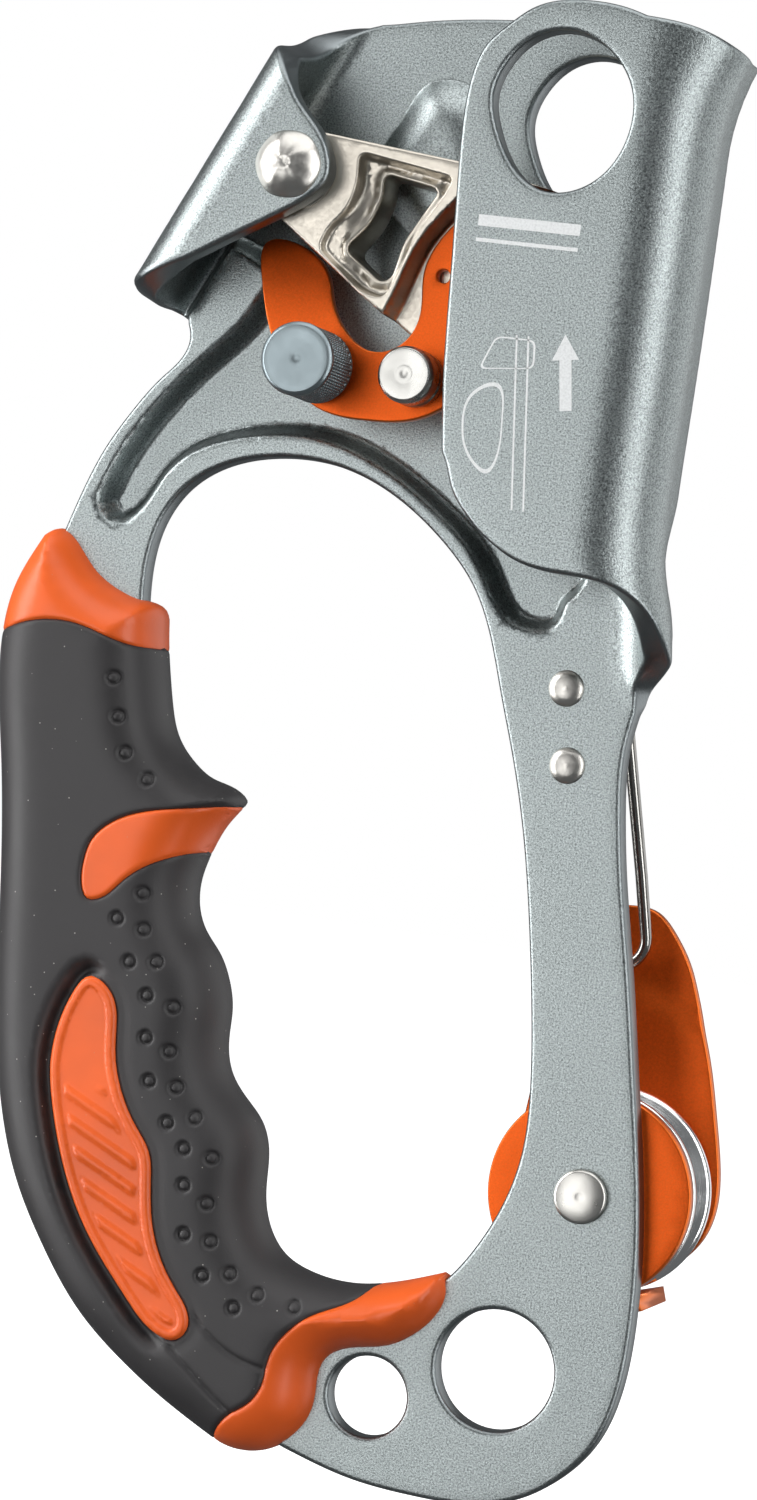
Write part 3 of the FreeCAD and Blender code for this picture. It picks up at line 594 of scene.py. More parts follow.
LEG_RIGHT = [(-28.0, -15.6), (-18.0, -18.1), (-9.0, -18.8), (-1.6, -18.6), (5.4, -16.7), (11.0, -12.8),
             (15.1, -7.4), (17.3, -0.3), (17.9, 8.5), (17.4, 18.5), (15.8, 30.0), (13.5, 42.0), (10.6, 56.5),
             (8.2, 67.5), (6.6, 77.0), (6.1, 86.0), (7.0, 91.6)]
GRIP_SPINE = [(-78.4, 103.2), (-80.6, 94.0), (-80.6, 84.0), (-78.5, 70.0), (-76.2, 54.0), (-74.2, 40.0),
              (-71.5, 27.0), (-67.5, 16.0), (-61.5, 6.5), (-54.0, -1.5), (-45.0, -8.0), (-36.5, -12.3),
              (-28.0, -15.6)]
ARM_LEFT = [(-64.3, 136.2), (-63.5, 133.6), (-64.2, 131.0), (-66.8, 127.8), (-70.4, 122.8), (-73.6, 117.2),
            (-76.0, 111.1), (-78.4, 103.2)]
OPENING = [(-12.4, 90.8), (-9.9, 83.6), (-6.6, 72.5), (-3.9, 60.0), (-2.0, 49.0), (-0.6, 38.0),
           (-0.6, 29.0), (-2.5, 21.4), (-5.5, 15.2), (-9.5, 10.0), (-15.5, 6.4), (-23.0, 4.8), (-30.0, 6.0),
           (-36.0, 9.6), (-40.5, 15.5), (-43.8, 23.0), (-47.5, 32.0), (-51.0, 42.0), (-54.6, 52.0),
           (-57.6, 62.0), (-60.2, 74.0), (-63.2, 87.0), (-65.0, 99.0), (-64.2, 107.0), (-61.0, 112.9),
           (-55.8, 116.7), (-49.4, 118.6), (-43.0, 118.9), (-36.5, 117.7), (-30.0, 114.8), (-23.8, 110.4),
           (-18.2, 104.5), (-14.8, 97.8)]
RECESS = [(-72.0, 110.2), (-70.8, 108.6), (-69.0, 109.6), (-66.4, 114.0), (-62.6, 118.7), (-56.5, 121.8),
          (-48.0, 123.6), (-41.8, 123.5), (-36.0, 122.0), (-29.9, 119.2), (-23.7, 115.2), (-17.8, 110.2),
          (-15.2, 106.6), (-13.2, 103.4), (-11.6, 101.9), (-9.6, 101.4), (-7.4, 101.9), (-6.6, 104.4),
          (-4.6, 106.8), (-2.8, 109.6), (0.0, 111.8), (8.0, 116.0)]
RECESS_BACK = [(-75.0, 156.0), (-64.0, 150.0), (-56.0, 147.5), (-51.5, 143.5), (-52.6, 139.6), (-54.4, 136.4),
               (-56.6, 133.6), (-61.4, 128.4),
               (-65.9, 122.6), (-69.7, 116.2), (-72.0, 110.2)]
SHELL_LOWER = [(0.0, 107.0), (-5.4, 107.3), (-9.5, 108.4), (-13.1, 110.5), (-16.6, 113.6), (-19.3, 117.8),
               (-20.8, 121.3)]
SHELL_LEFT = [(-20.8, 121.3), (-22.0, 131.0), (-23.0, 145.0), (-24.0, 160.0), (-24.2, 167.1), (-23.7, 171.9),
              (-22.3, 175.7), (-19.8, 178.4), (-16.6, 181.0), (-13.4, 182.2), (-9.4, 182.6), (-3.6, 182.0),
              (-1.2, 181.3)]
EYE_EGG = [(-11.7, 178.3), (-16.0, 176.9), (-19.0, 173.6), (-20.4, 168.8), (-19.2, 164.4), (-16.6, 160.0),
           (-12.4, 157.1), (-8.0, 157.4), (-4.0, 160.2), (-1.6, 165.4), (-1.8, 171.0), (-4.8, 175.6)]
HEAD_TOP = [(-1.2, 181.6), (-15.0, 182.6), (-28.0, 182.2), (-36.0, 181.3), (-41.0, 180.4)]
# Ear rim on its flattened sheet: distance past the start of the fold, distance along the fold.
EAR_RIM = [(0.0, 40.1), (3.0, 37.8), (5.5, 35.4), (8.0, 33.4), (12.0, 31.4), (16.0, 30.5), (19.0, 29.7),
           (21.6, 28.2),
           (25.0, 25.7), (30.4, 23.4), (33.4, 21.2), (34.8, 18.7), (34.3, 16.0), (31.9, 11.6), (26.8, 4.0),
           (23.6, -0.9), (20.7, -4.8), (18.2, -7.2), (15.0, -8.5), (11.0, -8.9), (7.0, -8.8), (3.5, -8.7)]
# Lower end of the channel's fold: angle round the fold from the back sheet, height.
FOLD_RIM = [(24.0, 93.2), (44.0, 95.2), (64.0, 96.7), (90.0, 98.3), (115.0, 101.8), (132.0, 104.5),
            (155.0, 106.4)]
BOSS = [(-41.0, 162.0), (-38.6, 167.4), (-35.4, 172.6), (-31.6, 173.4), (-28.0, 172.2), (-24.6, 168.0),
        (-22.4, 158.0), (-25.0, 150.0), (-38.0, 154.0)]


BOSS_RISE = 3.6


def fold_start(z):
    """Where the channel's fold begins, across the sheet: straight along the rope, swept right at its foot."""
    knots = [60, 84, 90, 94, 98, 102, 106, 110, 114, 130, 190]
    values = [16.0, 10.6, 6.8, 3.3, 1.8, 1.3, 0.3, -0.8, -1.2, -1.2, -1.2]
    return cubic(knots, values, z)[:, 0]


def set_back(flat):
    """Depth of the sheet's middle: 0 in the handle, pressed back by one thickness inside the recess line,
    with a soft wall about 2 mm wide, and pushed forward over the conical boss."""
    lower, left = run(RECESS, 0.5), run(RECESS_BACK, 0.5)
    line = np.vstack([lower, [(20, 118), (20, 200), (-90, 200), (-90, 160)], left])
    room = signed(flat, line)
    soft = ease((flat[:, 0] + 4.0) / 5.0)
    depth = HEAD_SET * ease((room + 2.1 * (1 - soft)) / (2.3 + 12.0 * soft))
    share = np.clip((signed(flat, closed(BOSS, 0.8)) - 0.2) / 6.5, 0, 1)
    return depth - BOSS_RISE * (1 - (1 - share) ** 2)


def ear_axes(flat):
    """Distance into the head and distance up the fold of a flat point, in the ear's axes."""
    rel = flat - EAR_BASE
    return rel @ EAR_IN, rel @ EAR_UP


def bend_frame(flat, height):
    """Bends the flattened sheet into the frame.

    The channel: past its start the sheet turns forward by a quarter circle, runs straight by the depth that
    is left, and turns by a second quarter into the front shell. The ear does the same about a leaning axis.
    height is the signed distance from the sheet's middle, positive away from the user in the flat part.
    """
    u, z = flat[:, 0], flat[:, 1]
    start = fold_start(z)
    reach, along = ear_axes(flat)
    ear = (u < -40) & (along > -13)
    past_ear = np.where(ear, np.maximum(EAR_START - reach, 0), 0)
    base = np.column_stack([np.minimum(u, start), z]) + past_ear[:, None] * EAR_IN
    depth = set_back(base)
    quarter = FOLD * math.pi / 2
    straight = np.maximum(depth - SHELL_MID - 2 * FOLD, 0)
    s = np.maximum(u - start, 0)
    turn = np.clip(s / FOLD, 0, math.pi / 2) + np.clip((s - quarter - straight) / FOLD, 0, math.pi / 2)
    slide = np.clip(s - quarter, 0, straight)
    tail = np.maximum(s - 2 * quarter - straight, 0)
    x = np.where(s > 0, start + (FOLD + height) * np.sin(turn) - tail, u)
    y = depth - FOLD + (FOLD + height) * np.cos(turn) - slide
    flare = np.clip((z - 165.5) / 11.5, 0, 1.4) ** 2
    x = x + np.where(s > 0, 2.2 * flare * np.sin(turn) ** 1.5, 0)

    quarter_ear = EAR_FOLD * math.pi / 2
    q = past_ear
    straight_ear = HEAD_SET - EAR_MID - 2 * EAR_FOLD
    depth = depth + (HEAD_SET - depth) * ease(q / 4)
    turn_ear = (np.clip(q / EAR_FOLD, 0, math.pi / 2)
                + np.clip((q - quarter_ear - straight_ear) / EAR_FOLD, 0, math.pi / 2))
    slide_ear = np.clip(q - quarter_ear, 0, straight_ear)
    tail_ear = np.maximum(q - 2 * quarter_ear - straight_ear, 0)
    new_reach = EAR_START - (EAR_FOLD + height) * np.sin(turn_ear) + tail_ear
    spot = EAR_BASE + new_reach[:, None] * EAR_IN + along[:, None] * EAR_UP
    folded = q > 0
    x = np.where(folded, spot[:, 0], x)
    z_out = np.where(folded, spot[:, 1], z)
    y = np.where(folded, depth - EAR_FOLD + (EAR_FOLD + height) * np.cos(turn_ear) - slide_ear, y)
    return np.column_stack([x, y, z_out])


def fold_run(z):
    """For each height, where the channel's fold begins and the straight length between its two quarters."""
    start = fold_start(z)
    depth = set_back(np.column_stack([start, z]))
    return start, np.maximum(depth - SHELL_MID - 2 * FOLD, 0)


def shell_flat(points):
    """Front shell points, seen from the user, laid out on the flat sheet beyond the fold."""
    points = np.asarray(points, float)
    start, straight = fold_run(points[:, 1])
    return np.column_stack([2 * start + math.pi * FOLD + straight - points[:, 0], points[:, 1]])


def fold_flat(points):
    """Points of the channel's fold, given by angle and height, on the flat sheet."""
    points = np.asarray(points, float)
    start, straight = fold_run(points[:, 1])
    along = start + np.radians(points[:, 0]) * FOLD + np.where(points[:, 0] > 89, straight, 0)
    return np.column_stack([along, points[:, 1]])


def ear_flat(points):
    """Ear points, given by distance past the fold's start and distance along it, on the flat sheet."""
    points = np.asarray(points, float)
    return EAR_BASE + (EAR_START - points[:, :1]) * EAR_IN + points[:, 1:] * EAR_UP


def build_frame(sizes):
    """The stamped sheet as one net with coined edges, bent by bend_frame."""
    coin = sizes.coined_edge / MM
    top = fold_flat([(150, 180.7), (120, 179.2), (90, 178.3), (45, 179.3), (12, 181.0)])
    foot = run(np.vstack([LEG_RIGHT[-1:], fold_flat(FOLD_RIM), shell_flat(SHELL_LOWER)]))
    crown = run(np.vstack([shell_flat(SHELL_LEFT[-1:]), top, HEAD_TOP[:1]]))
    ear = run(np.vstack([ear_flat(EAR_RIM), ARM_LEFT[:1]]))
    outline = chain(run(LEG_RIGHT), foot[1:], shell_flat(run(SHELL_LEFT))[1:], crown[1:], run(HEAD_TOP)[1:],
                    ear, run(ARM_LEFT)[1:], run(GRIP_SPINE)[1:-1])
    egg = closed(EYE_EGG)
    lower_eyes = [circle((0, 0), 8.2, 72), circle((-17.1, -6.6), 5.5, 56)]
    holes = [closed(OPENING)] + lower_eyes + [egg, shell_flat(egg)[::-1]]
    rows = [coin * share for share in (0.08, 0.25, 0.5, 0.78, 1.0)]
    offsets = (2.7, 2.2, 1.8, 1.4, 1.0, 0.6, 0.2, -0.2, -0.6)
    bands = [(run(RECESS, 0.9), offsets), (run(RECESS_BACK, 0.9), offsets),
             (looped(closed(BOSS, 0.8)), (0.1, 0.35, 0.8))]
    bands = [(line, list(moves) + [-m for m in moves]) for line, moves in bands]
    flat, faces = triangulate(outline, holes, rows, 1.25, bands)
    gap = np.minimum(distance(flat, [outline] + holes), coin)
    height = HALF - round_off(gap, coin)
    item = slab("frame_sheet", flat, faces, bend_frame(flat, -height), bend_frame(flat, height), 1 - gap / coin)
    finish(item, "blasted_anodised_aluminium", "frame", "frame_anodised", "frame")


def mark(name, outline, holes=()):
    """Thin printed mark on the flat front of the shell, half sunk into it and flat shaded."""
    points, faces = triangulate(outline, holes, (), 1.0)
    near = np.column_stack([points[:, 0], np.full(len(points), SHELL_MID - HALF - 0.02), points[:, 1]])
    item = slab(name, points, faces, near, near + np.array([0, 0.04, 0]))
    item.data.polygons.foreach_set("use_smooth", np.zeros(len(item.data.polygons), bool))
    finish(item, "laser_mark", "frame", "frame_anodised")


def stroke(points, width):
    """Outline of a line of given width: the line moved half the width to each side."""
    ends, share = np.array(points, float), np.linspace(0, 1, 12)[:, None]
    line = run(ends, 0.6) if len(ends) > 2 else ends[0] * (1 - share) + ends[1] * share
    return np.vstack([beside(line, -width / 2), beside(line, width / 2)[::-1]])


def build_marks():
    """Plain printed marks: an arrow up the rope, two bars, and a sketch of a rope, a box and a loop."""
    tip, tail, half, head = np.array((-6.05, 138.4)), np.array((-4.60, 128.4)), 0.82, 1.85
    up = (tip - tail) / np.linalg.norm(tip - tail)
    right = np.array((up[1], -up[0]))
    neck = tip - 3.4 * up
    arrow = np.array([tail - half * right, tail + half * right, neck + half * right, neck + head * right, tip,
                      neck - head * right, neck - half * right])
    mark("mark_arrow", polygon(arrow, 1.0))
    for number, x in enumerate((-12.6, -11.0)):
        mark("mark_rope_%d" % (number + 1), stroke([(x + 2.6, 114.6), (x, 137.6)], 0.26))
    box = np.array([(-17.2, 132.6), (-9.6, 133.4), (-9.9, 137.2), (-15.4, 137.2)])
    outer = rounded(box, 1.0)
    centre = outer.mean(0)
    mark("mark_box", outer, [(centre + (outer - centre) * 0.92)[::-1]])
    for number, (z, width) in enumerate(((152.2, 1.5), (149.6, 0.5))):
        mark("mark_bar_%d" % (number + 1), stroke([(-20.0, z), (-6.0, z)], width))
    ring = closed([(-14.2, 131.0), (-17.6, 129.4), (-18.4, 125.0), (-17.0, 121.0), (-14.0, 119.0),
                   (-12.8, 122.0), (-12.9, 126.5)])
    centre = ring.mean(0)
    mark("mark_loop", ring, [(centre + (ring - centre) * 0.91)[::-1]])


# ---------------------------------------------------------------- cam and catch

# Depths of the cam's front and back faces, and of its pocket, its step and the rib round its window.
CAM_FRONT = -11.5
CAM_BACK = -2.5
POCKET_DEPTH = 2.6
STEP_DEPTH = 4.6
RIB_HEIGHT = 1.0
CAM_PIVOT = (-48.0, 157.2)
CATCH_PIVOT = (-20.0, 147.0)
KNOB = (-41.7, 131.0)
PIN = (-28.0, 131.0)
CAM_POCKET = [(-39.8, 160.6), (-26.0, 158.4), (-26.9, 156.1), (-30.2, 150.4), (-32.0, 144.4), (-33.6, 140.9),
              (-37.2, 141.6), (-43.8, 146.8), (-42.8, 149.9), (-40.4, 152.7), (-39.5, 156.0)]
CAM_WINDOW = [(-36.2, 158.0), (-28.2, 156.6), (-29.9, 153.6), (-32.3, 149.2), (-33.3, 144.2), (-34.8, 143.4),
              (-40.0, 147.2), (-37.3, 151.0), (-36.0, 154.8)]
CAM_STEP_EDGE = [(-22.6, 158.6), (-25.3, 155.5), (-30.1, 148.5), (-32.5, 141.3), (-34.9, 136.0)]
CATCH_OUTER = [(-52.7, 147.2), (-52.2, 142.5), (-50.2, 136.5), (-46.5, 129.8), (-41.5, 125.6), (-34.5, 124.7),
               (-27.5, 125.6), (-21.5, 129.5), (-15.0, 138.0), (-12.4, 146.5), (-15.6, 153.2), (-22.5, 154.6),
               (-27.2, 150.6), (-29.2, 145.0), (-28.9, 139.6), (-31.0, 135.4), (-35.1, 134.1), (-38.8, 136.2),
               (-41.6, 140.6), (-43.6, 145.0)]


def cam_outline():
    """Cam seen from the user: round boss, straight top and lower edges, toothed nose to the right."""
    turn = np.radians(np.arange(65, 246, 12))
    boss = np.array(CAM_PIVOT) + 6.0 * np.column_stack([np.cos(turn), np.sin(turn)])
    lower = [(-27.6, 135.6), (-19.0, 130.4), (-10.0, 131.4)]
    nose = [(-10.0, 131.4), (-3.6, 137.6), (0.4, 145.0), (1.0, 152.6), (-4.0, 156.4)]
    return chain([(-26.0, 160.6)], boss, [(-50.2, 151.2), (-49.4, 150.2)], [(-38.2, 142.3), (-37.0, 141.4)],
                 [(-29.3, 136.2), (-28.6, 135.9)], run(lower), run(nose), step=0.8)


def build_cam():
    """Cam plate with a pocket round its window, a step cut for the catch and a slot behind its lower left for
    the catch's arm. Every depth changes in a wall that is an ease curve of the distance to its line. Two faint
    rings stand where ejector pins touched the wax."""
    outline = cam_outline()
    window, pocket = rounded(CAM_WINDOW, 1.3), rounded(CAM_POCKET, 1.6)
    edge_line = run(CAM_STEP_EDGE, 0.5)
    step = np.vstack([edge_line, [(-30.0, 120.0), (10.0, 120.0), (-6.0, 150.0), (-10.0, 158.0)]])
    bore = circle(CAM_PIVOT, 3.2, 40)
    slot = np.array([(-60.0, 153.2), (-41.0, 153.2), (-41.0, 138.0), (-60.0, 138.0)])
    edge, slot_depth = 0.4, 7.0
    rows = [edge * share for share in (0.15, 0.45, 1.0)]
    moves = (-0.8, -0.5, -0.3, -0.15, 0.0, 0.15, 0.3, 0.45, 0.6, 0.8, 1.0)
    bands = [(looped(pocket), moves), (edge_line, moves), (polygon(slot, 0.7), (0.0, -0.4, 0.4)),
             (looped(window), (-0.6, -0.75, -0.9, -1.05, -1.2))]
    points, faces = triangulate(outline, [window, bore], rows, 0.8, bands)
    gap = np.minimum(distance(points, [outline, window, bore]), edge)
    drop = round_off(gap, edge)
    sunk, cut, room = signed(points, pocket), signed(points, step), signed(points, slot)
    floor = POCKET_DEPTH - POCKET_DEPTH / 2 * ease((room + 4.2) / 4.0)
    rib = RIB_HEIGHT * ease((1.2 - distance(points, [window])) / 0.5) * ease(sunk / 0.9)
    depth = np.maximum(floor * ease((sunk + 0.05) / 0.75) - rib, STEP_DEPTH * ease((cut + 0.1) / 0.8))
    for mole in ((-41.0, 161.6), (-46.0, 149.8)):
        away = np.hypot(points[:, 0] - mole[0], points[:, 1] - mole[1])
        depth = depth + 0.10 * ease(1 - np.abs(away - 0.8) / 0.25)
    opened = (slot_depth - drop) * ease((room + 0.4) / 0.4)
    near = np.column_stack([points[:, 0], CAM_FRONT + drop + depth, points[:, 1]])
    far = np.column_stack([points[:, 0], CAM_BACK - drop - opened, points[:, 1]])
    item = slab("cam_body", points, faces, near, far, 1 - gap / edge)
    finish(item, "nickel_plated_cast_steel", "cam", "cam_steel", "cam")
    build_teeth()


def build_teeth():
    """Six rows of three conical teeth on the nose: radius falls evenly from root to point."""
    rows, sides, radius, height = 6, 10, 0.9, 1.9
    turn = np.linspace(0, 2 * np.pi, sides, endpoint=False)[:, None]
    a = np.arange(sides)
    b = (a + 1) % sides
    out, side, across = np.array([0.93, 0, -0.36]), np.array([0.36, 0, 0.93]), np.array([0, 1.0, 0])
    points, faces = [], []
    for row in range(rows):
        share = (row + 0.5) / rows
        for depth in (-9.8, -7.0, -4.2):
            root = np.array([-3.4 * share ** 2, depth, 151.5 - 13.5 * share])
            ring = root + radius * (np.cos(turn) * side + np.sin(turn) * across)
            first = len(points) * (sides + 2)
            points.append(np.vstack([ring, root + out * height, root - out * 0.4]))
            faces.append(np.column_stack([first + a, first + b, np.full(sides, first + sides)]))
            faces.append(np.column_stack([first + b, first + a, np.full(sides, first + sides + 1)]))
    item = write_mesh("cam_teeth", np.vstack(points), [np.vstack(faces)])
    finish(item, "nickel_plated_cast_steel", "cam", "cam_steel")


def build_cam_rivet():
    """Rivet upset by hammer: a low dome whose facets are a few broad sine ripples, with a struck centre."""
    size, rise = 4.6, 2.2
    ball = (size ** 2 + rise ** 2) / (2 * rise)
    radii = np.linspace(0, size, 26)
    front = [(r, -16.0 - (rise - (ball - math.sqrt(ball ** 2 - r ** 2)))) for r in radii]
    back = [(r, 6.0 + 2.0 * (1 - (r / size) ** 2)) for r in radii[::-1]]
    profile = front + [(size - 0.05, -15.7), (3.0, -15.6), (3.0, 5.9), (size - 0.05, 5.9)] + back

    def hammered(turn, radius, depth):
        share = radius / size
        facets = (0.11 * np.cos(5 * turn + 0.7) * share ** 2 + 0.05 * np.cos(9 * turn + 2.1 + 3 * share) * share
                  + 0.03 * np.cos(3 * turn + 5 * share) * share)
        pit = 0.16 * np.exp(-(radius / 0.5) ** 2) - 0.05 * np.exp(-((radius - 0.9) / 0.3) ** 2)
        face = (depth < -15.95) & (share < 0.999)
        wobble = np.where(depth < -15.6, 0.06 * np.cos(6 * turn), 0) * (share > 0.97)
        return radius + wobble, depth + np.where(face, facets * (1 - share ** 6) + pit, 0)
    item = turned("cam_rivet_head", profile, CAM_PIVOT, 96, hammered)
    finish(item, "hammered_rivet_steel", "frame", "rivet_steel", "cam_rivet")


def build_catch():
    """Catch lever, its upper left arm bent back by a square law, with its knurled knob, pin and rivet."""
    def arched(points):
        rise = np.maximum(points[:, 2] - 134.0, 0) * ease((-38.0 - points[:, 0]) / 4.0)
        points = points.copy()
        points[:, 1] += 0.011 * rise ** 2
        return points
    bores = [circle((-26.3, 145.2), 0.9, 24), circle(CATCH_PIVOT, 1.7, 32)]
    item = plate("catch_plate", closed(CATCH_OUTER), bores, -9.0, -7.2, 0.28, 1.2, arched)
    finish(item, "orange_anodised_aluminium", "catch", "orange_anodised", "catch_lever")

    lathe = [(0, -20.38), (0.25, -20.39), (0.45, -20.44), (0.7, -20.49), (1.2, -20.5), (2.4, -20.5)]
    lathe += [(3.6, -20.5), (4.4, -20.5), (4.5, -20.47), (4.88, -20.14), (4.95, -20.05), (4.98, -19.9)]
    lathe += [(5.0, y) for y in np.linspace(-19.6, -10.6, 64)]
    lathe += [(4.9, -10.2), (4.3, -9.9), (4.3, -8.95), (0, -8.95)]

    def knurl(turn, radius, depth):
        """Two families of 18 grooves that wind opposite ways; the surface sinks where they are near."""
        inside = ease((depth + 19.5) / 0.5) * ease((-10.6 - depth) / 0.5) * (radius > 4.9)
        first, second = (np.abs((turn * 18 / np.pi + way * depth * 0.9) % 1 - 0.5) for way in (1, -1))
        return radius - inside * 0.5 * (1 - 2 * np.minimum(first, second)) ** 1.5, depth
    item = turned("catch_knob_knurled", lathe, KNOB, 352, knurl)
    finish(item, "knob_anodised", "catch", "knob_anodised", "catch_knob")

    lathe = [(0, -15.44), (0.3, -15.44), (0.5, -15.5), (0.8, -15.5), (1.15, -15.5), (1.25, -15.48)]
    lathe += [(1.4, -15.5), (2.9, -15.5)] + arc(3.3, -15.2, 0.3, -90, -40, 4)
    lathe += [(3.7, -14.9), (3.84, -14.7), (3.87, -14.4)]
    lathe += [(3.87, -11.6), (3.7, -11.4), (3.7, -11.0), (3.87, -10.8), (3.87, -8.95), (0, -8.95)]
    item = turned("catch_pin_turned", lathe, PIN, 96)
    finish(item, "pin_turned_aluminium", "catch", "turned_aluminium", "catch_stop_pin")

    lathe = [(0, -10.3), (1.0, -10.25), (2.0, -9.95), (2.7, -9.5), (3.0, -9.1), (1.5, -9.1), (1.5, -2.5),
             (0, -2.5)]
    item = turned("catch_rivet_head", lathe, CATCH_PIVOT, 64)
    finish(item, "hammered_rivet_steel", "cam", "rivet_steel", "catch_rivet")
    for node, material in (("cam_front_washer", "hammered_rivet_steel"), ("cam_back_bush", "turned_brass"),
                           ("cam_spring", "polished_spring_steel"), ("catch_spring", "polished_spring_steel")):
        coat_node(node, material)


# ---------------------------------------------------------------- grip

GRIP_OUTER = [(-80.3, 104.2), (-81.8, 101.3), (-83.7, 96.6), (-84.6, 89.0), (-82.2, 72.0), (-79.5, 52.5),
              (-77.4, 35.0), (-75.0, 24.0), (-71.4, 14.5), (-66.2, 6.0), (-59.4, -2.3), (-52.2, -8.0),
              (-45.4, -12.2), (-38.5, -15.7)]
GRIP_FOOT = [(-38.5, -15.7), (-36.4, -16.6), (-34.0, -17.0), (-31.0, -16.6), (-27.6, -14.6), (-24.8, -10.8),
             (-24.2, -7.4), (-24.2, -4.7), (-23.4, -2.4), (-21.5, -1.0), (-18.8, -0.2), (-15.4, 0.6),
             (-12.2, 2.4), (-9.6, 5.0), (-8.3, 7.4), (-8.1, 10.0), (-9.0, 11.8)]
GRIP_INNER = [(-9.0, 11.8), (-14.0, 9.9), (-21.5, 8.1), (-28.4, 8.6), (-32.7, 10.5), (-35.4, 14.2),
              (-36.4, 18.0), (-36.8, 23.6), (-38.5, 27.9), (-41.2, 30.7), (-43.6, 33.6), (-44.8, 38.1),
              (-44.9, 42.2), (-46.0, 46.4), (-48.0, 50.0), (-50.4, 52.8), (-51.5, 55.0), (-52.0, 58.6),
              (-51.0, 63.2), (-49.4, 67.0), (-47.6, 69.6), (-46.9, 71.0), (-48.2, 72.4), (-52.1, 73.6),
              (-55.7, 75.9), (-58.3, 79.0), (-59.7, 82.8), (-60.7, 87.0), (-61.5, 91.0), (-62.0, 94.7)]
GRIP_HEAD = [(-62.0, 94.7), (-62.7, 96.1), (-65.0, 96.8), (-68.4, 97.8), (-71.9, 99.8), (-74.7, 102.8),
             (-76.6, 104.6), (-78.6, 105.2), (-80.3, 104.2)]
COLLAR_LINE = [(-90.0, 87.4), (-85.2, 89.4), (-82.3, 90.4), (-77.7, 91.9), (-72.3, 92.3), (-67.6, 91.2),
               (-63.3, 90.2), (-61.0, 90.3), (-56.0, 91.0)]
FOOT_LINE = [(-16.5, 13.0), (-17.9, 8.7), (-19.4, 6.8), (-24.5, 3.9), (-27.9, 0.7), (-29.5, -2.3),
             (-30.2, -6.9), (-31.6, -9.3), (-34.1, -11.3), (-36.6, -14.6), (-38.4, -18.0)]
FINGER_BAND = [(-65.6, 60.3), (-65.1, 62.6), (-62.9, 65.4), (-58.5, 67.7), (-50.5, 69.5), (-46.4, 70.2),
               (-42.0, 69.0), (-44.0, 64.4), (-49.4, 63.6), (-53.6, 62.3), (-57.4, 60.1), (-59.8, 57.9),
               (-62.7, 55.2), (-64.4, 55.0), (-65.4, 56.6)]
INLAY = [(-62.4, 44.5), (-59.8, 43.5), (-58.3, 41.5), (-57.3, 35.3), (-55.7, 29.9), (-52.8, 25.2),
         (-50.5, 22.1),
         (-49.6, 18.2), (-48.5, 12.3), (-46.4, 7.5), (-43.7, 3.9), (-41.9, 1.5), (-41.6, -1.0), (-43.1, -2.6),
         (-45.6, -2.3), (-51.0, 2.1), (-57.6, 9.7), (-61.9, 17.1), (-65.1, 25.9), (-66.3, 31.8), (-66.0, 37.0),
         (-64.5, 41.9)]
DIMPLES = [(-65.2, 85.5), (-63.8, 80.3), (-62.0, 75.5), (-58.4, 72.3), (-56.7, 56.8), (-59.6, 52.9),
           (-55.8, 51.9), (-57.0, 47.3), (-53.3, 47.8), (-53.8, 43.1), (-50.0, 42.0), (-53.1, 37.4),
           (-49.7, 36.0), (-51.8, 31.6), (-48.0, 31.3), (-48.4, 26.4), (-44.8, 27.6), (-45.5, 23.3),
           (-41.6, 22.6), (-44.8, 18.4), (-41.4, 16.4), (-43.8, 11.8), (-40.1, 11.4), (-40.4, 6.7),
           (-36.8, 7.5), (-32.6, 5.3), (-35.4, 3.1), (-27.3, 4.5)]
CREASES = [[(-43.8, -3.6), (-40.0, -6.6), (-36.4, -9.4), (-33.4, -11.4)],
           [(-40.6, 0.8), (-37.6, -1.6), (-33.6, -3.6), (-29.8, -4.4)]]


def grip_height(points, outline, depth, reach):
    """Half thickness of the grip: near a superellipse of the distance to its outline, full past the reach."""
    share = np.clip(distance(points, [outline]) / reach, 0, 1)
    return depth * (1 - (1 - share) ** 2.4) ** (1 / 2.1)


